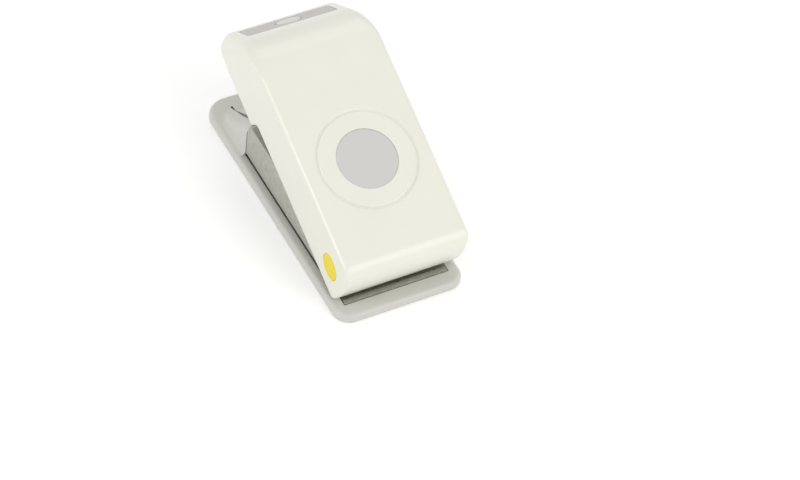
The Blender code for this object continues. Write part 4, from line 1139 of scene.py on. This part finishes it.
# %% Base tray
TRAY_FLOOR = 1.5 * MM
CHANNEL_HALF = 18.3 * MM
CHANNEL_FRONT = 90.3 * MM
CHANNEL_REAR = 106.5 * MM
CHANNEL_FLOOR = 1.0 * MM
RAIL_HALF = 19.9 * MM
RAIL_TOP = 2.8 * MM
RAIL_REAR = 109.6 * MM
TONGUE_TOP = 11.0 * MM
RECESS_HALF, RECESS_FRONT, RECESS_REAR = 23.3 * MM, -8.3 * MM, 88.8 * MM
SLOT_HALF, SLOT_FRONT, SLOT_REAR = 24.3 * MM, 12.0 * MM, 87.5 * MM
SLOT_LOW, SLOT_HIGH = TRAY_FLOOR + 0.1 * MM, TRAY_TOP + 0.5 * MM
TONGUE_SEAT_HALF, TONGUE_SEAT_FRONT = 16.3 * MM, 77.4 * MM
DIE_WINDOW = 15.0 * MM
CLAMP_HEAD = 3.6 * MM
tray = carved(
    tray_skin(),
    *joins(block_skin()),
    *cuts(
        box((-RECESS_HALF, RECESS_HALF), (RECESS_FRONT, RECESS_REAR), (TRAY_FLOOR, TRAY_TOP + GAP)),
        box((-SLOT_HALF, SLOT_HALF), (SLOT_FRONT, SLOT_REAR), (SLOT_LOW, SLOT_HIGH)),
        box(
            (-TONGUE_SEAT_HALF, TONGUE_SEAT_HALF), (TONGUE_SEAT_FRONT, RECESS_REAR),
            (TRAY_FLOOR, TONGUE_TOP + GAP),
        ),
        box(
            (-CHANNEL_HALF, CHANNEL_HALF), (CHANNEL_FRONT, CHANNEL_REAR),
            (CHANNEL_FLOOR, BLOCK_TOP + OVERRUN),
        ),
        box((-RAIL_HALF, RAIL_HALF), (CHANNEL_FRONT, RAIL_REAR), (CHANNEL_FLOOR, RAIL_TOP)),
        rod(DIE_WINDOW, -OVERRUN, TRAY_TOP, (0.0, REACH), 128),
        *[rod(CLAMP_HEAD, -OVERRUN, TRAY_TOP, place, 48) for place in CLAMP_SCREWS],
        *[screw_hole(*place) for place in TRAY_SCREWS],
    ),
)
piece("tray", tray, TO_BASE, BASE_GREY, "base", "grey_base", "base_tray", sharp=36.0)

# %% [markdown]
# ## The lock's outlines
# The lock is a slider in the raised block: a wedge that carries on the block's wave, a hook that
# holds the closed lever, and a rest for the thumb. Each is drawn from the side as an outline and
# pulled out across. The wedge narrows towards its front, so that a dark gap opens there, as round
# a part that has to slide.

# %% Lock outlines
WEDGE_FRONT, WEDGE_REAR, WEDGE_LOW = 92.0 * MM, 103.2 * MM, 2.2 * MM
WEDGE_LENGTH = WEDGE_REAR - WEDGE_FRONT
WEDGE_SINK = 0.35 * MM
wedge_stops = [WEDGE_FRONT + WEDGE_LENGTH * step / 24 for step in range(25)]
wedge = [(WEDGE_REAR, WEDGE_LOW), (WEDGE_FRONT, WEDGE_LOW)]
wedge += [(y, block_height(y) - WEDGE_SINK) for y in wedge_stops]
hook = [
    (96.2, 2.5), (99.4, 2.5), (99.4, 10.235), (101.8, 10.235), (101.8, 10.735), (101.45, 11.25),
    (100.8, 11.55), (99.4, 11.735), (96.2, 11.735),
]
thumb = [
    (101.0, 4.3), (109.6, 4.3), (109.6, 6.1), (109.35, 6.4), (109.0, 6.5), (108.75, 6.5), (108.4, 6.4),
    (108.1, 6.1), (107.75, 5.75), (107.2, 5.5), (101.0, 5.5),
]


def tapered(bm, share):
    """Narrows the wedge towards its front end, so the side gaps open there."""
    for vert in bm.verts:
        vert.co.x *= 1.0 - share * (WEDGE_REAR - vert.co.y) / WEDGE_LENGTH
    return bm


print("outlines of", len(wedge), len(hook), "and", len(thumb), "points")

# %% [markdown]
# ## Lock slider
# The outlines become softened bars, and they are joined to one moulded slider on a flat foot that
# runs in the rails. The edges are rounded before the bars are joined: afterwards the seams
# between them would be rounded too.

# %% Lock slider
FOOT_HALF, WEDGE_HALF, HOOK_HALF, THUMB_HALF = 19.6 * MM, 17.6 * MM, 8.5 * MM, 7.0 * MM
LIP_FRONT, LOCK_REAR = 101.0 * MM, 106.3 * MM
WEDGE_TAPER = 0.12
foot = box((-FOOT_HALF, FOOT_HALF), (WEDGE_FRONT, LOCK_REAR), (1.3 * MM, 2.5 * MM))
lip = box((-WEDGE_HALF, WEDGE_HALF), (LIP_FRONT, LOCK_REAR), (4.3 * MM, 5.1 * MM))
lock = carved(
    soften(foot, 0.2 * MM, 2),
    *joins(
        tapered(soften(prism(wedge, WEDGE_HALF), 0.35 * MM, 3), WEDGE_TAPER),
        soften(lip, 0.3 * MM, 3),
        soften(prism([(y * MM, z * MM) for y, z in hook], HOOK_HALF), 0.25 * MM, 2),
        soften(prism([(y * MM, z * MM) for y, z in thumb], THUMB_HALF), 0.3 * MM, 3),
    ),
)
piece("lock", lock, TO_BASE, LOCK_GREY, "lock", "grey_base", "lock_slider")

# %% [markdown]
# ## The guide frame's outline
# The cast frame carries the hinge, guides the cutter and stops the lever. From the side it is a
# long bar with a round nose about the hinge axis, cut off by the slant that stops the open lever.
# The nose is worked out from the lever's own wall, so the two can't collide if a size changes.

# %% Frame outline
FRAME_HALF = 24.5 * MM
FRAME_LOW = 5.5 * MM
FRAME_REAR = 79.4 * MM
FRAME_TOP = 22.6 * MM
FRAME_CHAMFER = 3.2 * MM


def frame_outline():
    """The casting seen from the side."""
    nose = LEVER_FRONT - LEVER_WALL - GAP
    foot_y = (-nose + (HINGE.z - FRAME_LOW) * math.sin(OPEN_ANGLE)) / math.cos(OPEN_ANGLE)
    deck = math.asin((FRAME_TOP - HINGE.z) / nose)
    outline = [(foot_y, FRAME_LOW), (FRAME_REAR, FRAME_LOW), (FRAME_REAR, FRAME_TOP - FRAME_CHAMFER)]
    corner = (FRAME_REAR - FRAME_CHAMFER, FRAME_TOP - FRAME_CHAMFER)
    outline += arc(corner, FRAME_CHAMFER, 0.0, math.pi / 2, 12)[1:]
    return outline + arc((0.0, HINGE.z), nose, deck, math.pi + OPEN_ANGLE, 40)


def on_sides(middle):
    """Whether an edge lies on one of the casting's two sides."""
    return abs(abs(middle.x) - FRAME_HALF) < 0.01 * MM


print(len(frame_outline()), "points round the frame")

# %% [markdown]
# ## Cutters for the guide frame
# The casting has a round groove for the spring, a notch for the lever's hinge and six pockets
# that save metal. Each is a plain shape that is cut away later. The floors and corners of notch
# and pockets are softened on the cutter itself: what is round on a cutter comes out round in the
# hollow, as it does in a mould.

# %% Cutters for the frame
TOWER_RADIUS = 14.75 * MM
TOWER_TOP = 23.51 * MM
GROOVE_FLOOR, GROOVE_HALF, GROOVE_EASE = 8.5 * MM, 18.85 * MM, 0.4 * MM
NOTCH_HALF, NOTCH_REAR, NOTCH_FLOOR = 19.7 * MM, 10.0 * MM, 13.4 * MM
POCKET_HALF, POCKET_LENGTH, POCKET_FLOOR, POCKET_TOP = 5.8 * MM, 8.2 * MM, 9.0 * MM, 25.0 * MM
POCKETS = [(x * MM, y * MM) for x in (-13.6, 0.0, 13.6) for y in (56.0, 66.2)]


def at_notch_floor(middle):
    """Whether an edge lies on the notch's floor, at its rear or its sides."""
    within = middle.y > NOTCH_REAR - 0.1 * MM or abs(middle.x) > NOTCH_HALF - 0.1 * MM
    return middle.z < NOTCH_FLOOR + 0.1 * MM and within


def below_pocket_top(middle):
    """Whether an edge lies inside the casting."""
    return middle.z < POCKET_TOP - 0.1 * MM


def pocket(x, y):
    """A cutter for one pocket, with a soft floor and corners."""
    block = box((x - POCKET_HALF, x + POCKET_HALF), (y, y + POCKET_LENGTH), (POCKET_FLOOR, POCKET_TOP))
    return soften(block, 0.9 * MM, 4, where=below_pocket_top)


notch = box((-NOTCH_HALF, NOTCH_HALF), (-LEVER_FRONT, NOTCH_REAR), (NOTCH_FLOOR, HINGE.z + LEVER_FRONT))
spring_groove = turned([
    (TOWER_RADIUS, GROOVE_FLOOR), (GROOVE_HALF, GROOVE_FLOOR), (GROOVE_HALF, FRAME_TOP - GROOVE_EASE),
    (GROOVE_HALF + GROOVE_EASE, FRAME_TOP), (GROOVE_HALF + GROOVE_EASE, TOWER_TOP + OVERRUN),
    (TOWER_RADIUS, TOWER_TOP + OVERRUN),
], (0.0, REACH), 128)
print(len(POCKETS), "pockets")

# %% [markdown]
# ## Guide frame
# The long edges are rounded first, then the tower and tongue are joined on, and the bores and
# hollows are cut last. A real casting is made the same way: the mould gives the round edges, and
# the tools leave crisp bores.

# %% Guide frame
TONGUE_HALF = 16.0 * MM
TONGUE_REAR = 88.5 * MM
BORE_RADIUS = 12.85 * MM
STEM_BORE = 6.15 * MM
CLAMP_HOLE, CLAMP_TOP = 2.3 * MM, 9.8 * MM
casting = carved(
    soften(prism(frame_outline(), FRAME_HALF), 0.7 * MM, 4, where=on_sides),
    *joins(
        box((-TONGUE_HALF, TONGUE_HALF), (FRAME_REAR - OVERRUN, TONGUE_REAR), (FRAME_LOW, TONGUE_TOP)),
        rod(TOWER_RADIUS, GROOVE_FLOOR, TOWER_TOP, (0.0, REACH), 128),
    ),
    *cuts(
        spring_groove,
        rod(BORE_RADIUS, FRAME_LOW - OVERRUN, TOWER_TOP - 1.5 * MM, (0.0, REACH), 128),
        rod(STEM_BORE, FRAME_LOW, TOWER_TOP + OVERRUN, (0.0, REACH), 64),
        soften(notch, 0.8 * MM, 3, where=at_notch_floor),
        lie_along_x(rod(PIN_BORE, -FRAME_HALF - OVERRUN, FRAME_HALF + OVERRUN, steps=64), 0.0, HINGE.z),
        *[pocket(*place) for place in POCKETS],
        *[rod(CLAMP_HOLE, FRAME_LOW - OVERRUN, CLAMP_TOP, place, 48) for place in CLAMP_SCREWS],
    ),
)
piece("frame", casting, TO_BASE, CAST, "base", "cast_metal", "guide_frame", sharp=36.0)

# %% [markdown]
# ## The return spring's wire
# A round wire winds up from the frame to the plunger cap, with closed end turns that lie flat. A
# curve with a bevel could draw it. Here a circle is set out at each step of the helix, square to
# the wire, and the loft joins them, which gives an even mesh with closed ends.

# %% Spring wire
SPRING_WIRE = 0.65 * MM
SPRING_MEAN = 16.8 * MM
SPRING_LOW, SPRING_HIGH = 9.45 * MM, 27.584 * MM
SPRING_TURNS, SPRING_END_TURNS = 4.5, 0.75
END_PITCH = 1.885 * MM


def spring_point(turn):
    """The middle of the wire after some turns."""
    middle = SPRING_TURNS - 2 * SPRING_END_TURNS
    pitch = (SPRING_HIGH - SPRING_LOW - 2 * SPRING_END_TURNS * END_PITCH) / middle
    started = min(turn, SPRING_END_TURNS)
    ended = max(turn - SPRING_END_TURNS - middle, 0.0)
    height = SPRING_LOW + (started + ended) * END_PITCH + (turn - started - ended) * pitch
    angle = math.tau * turn
    return Vector((SPRING_MEAN * math.cos(angle), SPRING_MEAN * math.sin(angle), height))


def spring_skin(turn_steps=48, sides=14):
    """The wire as a loft of circles."""
    count = round(SPRING_TURNS * turn_steps)
    rings = []
    for step in range(count + 1):
        turn = SPRING_TURNS * step / count
        centre = spring_point(turn)
        outward = Vector((math.cos(math.tau * turn), math.sin(math.tau * turn), 0.0))
        along = spring_point(min(turn + 0.002, SPRING_TURNS)) - spring_point(max(turn - 0.002, 0.0))
        upward = along.normalized().cross(outward).normalized() * -1.0
        near_end = min(step, count - step)
        radius = SPRING_WIRE * (0.72, 0.94)[near_end] if near_end < 2 else SPRING_WIRE
        rings.append([
            centre + radius * (math.cos(angle) * outward + math.sin(angle) * upward)
            for angle in (math.tau * side / sides for side in range(sides))
        ])
    return loft(rings)


print("the spring has", SPRING_TURNS, "turns")

# %% [markdown]
# ## Return spring
# The spring lifts the cutter, and shortens when the lever comes down. In the punch its foot stays
# on the frame and its top follows the cap's flange. Here it rides on the cutter and gets a mesh of
# its own.

# %% Return spring
spring_bm = spring_skin()
bmesh.ops.translate(spring_bm, verts=spring_bm.verts, vec=(0.0, REACH, 0.0))
spring = piece("spring", spring_bm, TO_BASE, SPRING_STEEL, "cutter", "spring_steel", "return_spring")
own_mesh(spring)

# %% [markdown]
# ## Plunger cap
# The dark cap sits on the cutter's stem: the lever's pin presses on its crown, and the spring
# pushes up its flange. It is a turned part in real life and here, so one half profile with a soft
# crown is enough.

# %% Plunger cap
def cap_skin():
    """The cap as a turned shell with a flange and a soft crown."""
    crown, ceiling, flange = 36.534 * MM, 34.534 * MM, 28.534 * MM
    outside, inside, hole, edge = 16.55 * MM, 15.05 * MM, 2.1 * MM, 0.7 * MM
    rim = [(18.55, 0.0), (18.55, 1.2), (18.45, 1.42), (18.25, 1.5), (17.0, 1.5)]
    rim += [(16.68, 1.63), (16.55, 1.95)]
    profile = [(hole, ceiling), (inside, ceiling), (inside, flange)]
    profile += [(radius * MM, flange + rise * MM) for radius, rise in rim]
    profile += [(outside - edge * inset, crown - edge + edge * rise) for inset, rise in quarter(6)]
    profile += [(4.3 * MM, crown), (4.3 * MM, crown - 0.1 * MM), (hole, ceiling + 0.4 * MM)]
    return turned(list(reversed(profile)), (0.0, REACH), 128)


piece("cap", cap_skin(), TO_BASE, DARK, "cutter", "dark_plastic", "plunger_cap")

# %% [markdown]
# ## Cutter
# The cutter is ground tool steel. Its lower face is hollow across, so the two sides cut first,
# like scissors. The hollow could be a large cylinder cut away by hand. It is the same thing here:
# an arc, pulled out across the face, is taken away from the turned punch.

# %% Cutter
def cutter_skin():
    """The punch: its face is hollowed across, so the sides cut first."""
    low, high, stem = 12.422 * MM, 21.712 * MM, 34.234 * MM
    ease, shank = 0.3 * MM, 6.0 * MM
    profile = [(0.0, low), (CUT_RADIUS, low), (CUT_RADIUS, high - ease), (CUT_RADIUS - ease, high)]
    profile += [(6.5 * MM, high), (6.12 * MM, high + 0.12 * MM), (shank, high + 0.5 * MM)]
    profile += [(shank, stem - ease), (shank - ease, stem), (0.0, stem)]
    span, relief = CUT_RADIUS + OVERRUN, 1.2 * MM
    hollow = (span * span + relief * relief) / (2 * relief)
    opening = math.asin(span / hollow)
    face = arc((0.0, low + relief - hollow), hollow, math.pi / 2 - opening, math.pi / 2 + opening, 40)
    face += [(-span, low - OVERRUN), (span, low - OVERRUN)]
    bm = carved(
        turned(profile, steps=128),
        *cuts(prism(face, span), rod(2.1 * MM, 26.634 * MM, 36.5 * MM, steps=48)),
    )
    bmesh.ops.translate(bm, verts=bm.verts, vec=(0.0, REACH, 0.0))
    return bm


piece("punch", cutter_skin(), TO_BASE, TOOL_STEEL, "cutter", "tool_steel", "cutter", sharp=36.0)

# %% [markdown]
# ## Small metal pieces
# Screws, pins, bushes and plates hold the punch together and are mostly hidden. To model them
# again would add nothing, so these solids of the model keep their shape. Each gets its finish and
# a narrow Bevel modifier, which works on the edges that are sharper than 38 degrees.

# %% Small metal pieces
KEPT = {
    "die_plate": (PLATED, 0.15), "spacer_plate": (PLATED, 0.1), "hinge_pin": (PIN_STEEL, 0.3),
    "lever_bracket": (PLATED, 0.15), "presser_pin": (PIN_STEEL, 0.3), "cap_screw": (PLATED, 0.1),
    "pivot_bush_left": (NYLON, 0.15), "pivot_bush_right": (NYLON, 0.15),
}
KEPT.update({f"clamp_screw_{number}": (PLATED, 0.12) for number in (1, 2)})
KEPT.update({f"tray_screw_{number}": (PLATED, 0.1) for number in (1, 2, 3, 4)})
KEPT.update({f"bracket_screw_{number}": (PLATED, 0.1) for number in (1, 2, 3, 4)})
for name, (material, ease) in KEPT.items():
    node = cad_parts[name]
    node.data.materials.clear()
    node.data.materials.append(material)
    bevel = node.modifiers.new("ease", "BEVEL")
    bevel.width = ease * MM
    bevel.segments = 2
    bevel.limit_method = "ANGLE"
    bevel.angle_limit = math.radians(38.0)
    bevel.use_clamp_overlap = True
    bevel.harden_normals = False
print(len(KEPT), "solids kept")

# %% [markdown]
# ## Floor
# The punch stands on a bright white ground with only a soft shadow. More light would bleach the
# white lever too. So the floor itself lifts its brightness, and only for rays that come from the
# camera: the piece is lit by the plain floor, and the shadow stays.

# %% Floor
FLOOR_LIFT, FLOOR_LEVEL = 0.18, -0.02 * MM
floor_bm = bmesh.new()
bmesh.ops.create_grid(floor_bm, x_segments=2, y_segments=2, size=3.0)
bmesh.ops.translate(floor_bm, verts=floor_bm.verts, vec=(0.0, 0.0, FLOOR_LEVEL))
floor = as_object(floor_bm, "floor")
floor_material = bpy.data.materials.new("floor_white")
floor_material.use_nodes = True
floor_shader = floor_material.node_tree.nodes[SHADER]
floor_shader.inputs["Base Color"].default_value = (0.97, 0.97, 0.97, 1.0)
floor_shader.inputs["Roughness"].default_value = 0.75
floor_shader.inputs["Specular IOR Level"].default_value = 0.2
floor_tree = floor_material.node_tree
seen = floor_tree.nodes.new("ShaderNodeLightPath")
lift = floor_tree.nodes.new("ShaderNodeMath")
lift.operation = "MULTIPLY"
lift.inputs[1].default_value = FLOOR_LIFT
glow = floor_tree.nodes.new("ShaderNodeEmission")
both = floor_tree.nodes.new("ShaderNodeAddShader")
floor_tree.links.new(seen.outputs["Is Camera Ray"], lift.inputs[0])
floor_tree.links.new(lift.outputs[0], glow.inputs["Strength"])
floor_tree.links.new(floor_shader.outputs["BSDF"], both.inputs[0])
floor_tree.links.new(glow.outputs["Emission"], both.inputs[1])
floor_tree.links.new(both.outputs["Shader"], floor_tree.nodes["Material Output"].inputs["Surface"])
floor.data.materials.append(floor_material)
print("floor lift", FLOOR_LIFT)

# %% [markdown]
# ## Light
# A product photograph uses large soft boxes round a small object, so highlights are broad and
# shadows faint. A sun lamp would give hard edges. Here an even white world fills everything, and
# three rectangles of light draw the bright lines: from the left, from the front over the lever's
# edge, and from the rear over the slope.

# %% Light
WORLD_LEVEL = 0.745
world = bpy.data.worlds.new("studio")
bpy.context.scene.world = world
world.use_nodes = True
world.node_tree.nodes["Background"].inputs["Color"].default_value = (1.0, 1.0, 1.0, 1.0)
world.node_tree.nodes["Background"].inputs["Strength"].default_value = WORLD_LEVEL


def soft_box(name, place, target, size, energy, colour=(1.0, 1.0, 1.0)):
    """A rectangle of light that looks at a target."""
    light = bpy.data.lights.new(name, "AREA")
    light.shape = "RECTANGLE"
    light.size, light.size_y = size
    light.energy = energy
    light.color = colour
    obj = bpy.data.objects.new(name, light)
    bpy.context.scene.collection.objects.link(obj)
    direction = Vector(target) - Vector(place)
    turn = direction.to_track_quat("-Z", "Y").to_matrix().to_4x4()
    obj.matrix_world = Matrix.Translation(place) @ turn
    return obj


soft_box("left", (-1.17, 0.10, 0.56), (0.0, 0.0, 0.03), (0.25, 0.72), 3.05)
soft_box("front", (0.47, -0.95, 0.60), (0.0, 0.0, 0.03), (0.95, 0.85), 3.75)
soft_box("rear", (0.45, 0.80, 0.95), (0.0, 0.0, 0.03), (1.1, 0.6), 1.3)

# %% [markdown]
# ## Camera
# The camera looks from the front left, steeply down, and leans a little, as in the photograph.
# Its angles, distance and focal length were fitted to edges in the picture. Three unit vectors,
# backward, right and up, build its matrix, which is easier to check than three Euler angles.

# %% Camera
VIEW_TURN, VIEW_RISE, VIEW_ROLL = math.radians(32.955), math.radians(48.019), math.radians(7.540)
VIEW_DISTANCE, VIEW_SHIFT = 1.438, (-5.343 * MM, -15.93 * MM)
FOCAL_PIXELS, PHOTO_WIDTH, SENSOR_WIDTH = 3614.0, 800.0, 36.0
backward = Vector((
    -math.sin(VIEW_TURN) * math.cos(VIEW_RISE),
    -math.cos(VIEW_TURN) * math.cos(VIEW_RISE),
    math.sin(VIEW_RISE),
))
level_right = (-backward).cross(Vector((0.0, 0.0, 1.0))).normalized()
level_up = level_right.cross(-backward)
right = math.cos(VIEW_ROLL) * level_right + math.sin(VIEW_ROLL) * level_up
up = math.cos(VIEW_ROLL) * level_up - math.sin(VIEW_ROLL) * level_right
place = Vector((0.0, HINGE.y, 0.0)) + VIEW_DISTANCE * backward
place -= VIEW_SHIFT[0] * right + VIEW_SHIFT[1] * up
camera_data = bpy.data.cameras.new("camera")
camera = bpy.data.objects.new("camera", camera_data)
bpy.context.scene.collection.objects.link(camera)
camera.matrix_world = Matrix((
    (right.x, up.x, backward.x, place.x), (right.y, up.y, backward.y, place.y),
    (right.z, up.z, backward.z, place.z), (0.0, 0.0, 0.0, 1.0),
))
camera_data.sensor_width = SENSOR_WIDTH
camera_data.lens = FOCAL_PIXELS * SENSOR_WIDTH / PHOTO_WIDTH
camera_data.clip_end = 20.0
bpy.context.scene.camera = camera
bpy.context.scene.view_settings.view_transform = "Standard"
print("camera at", [round(value, 3) for value in place])
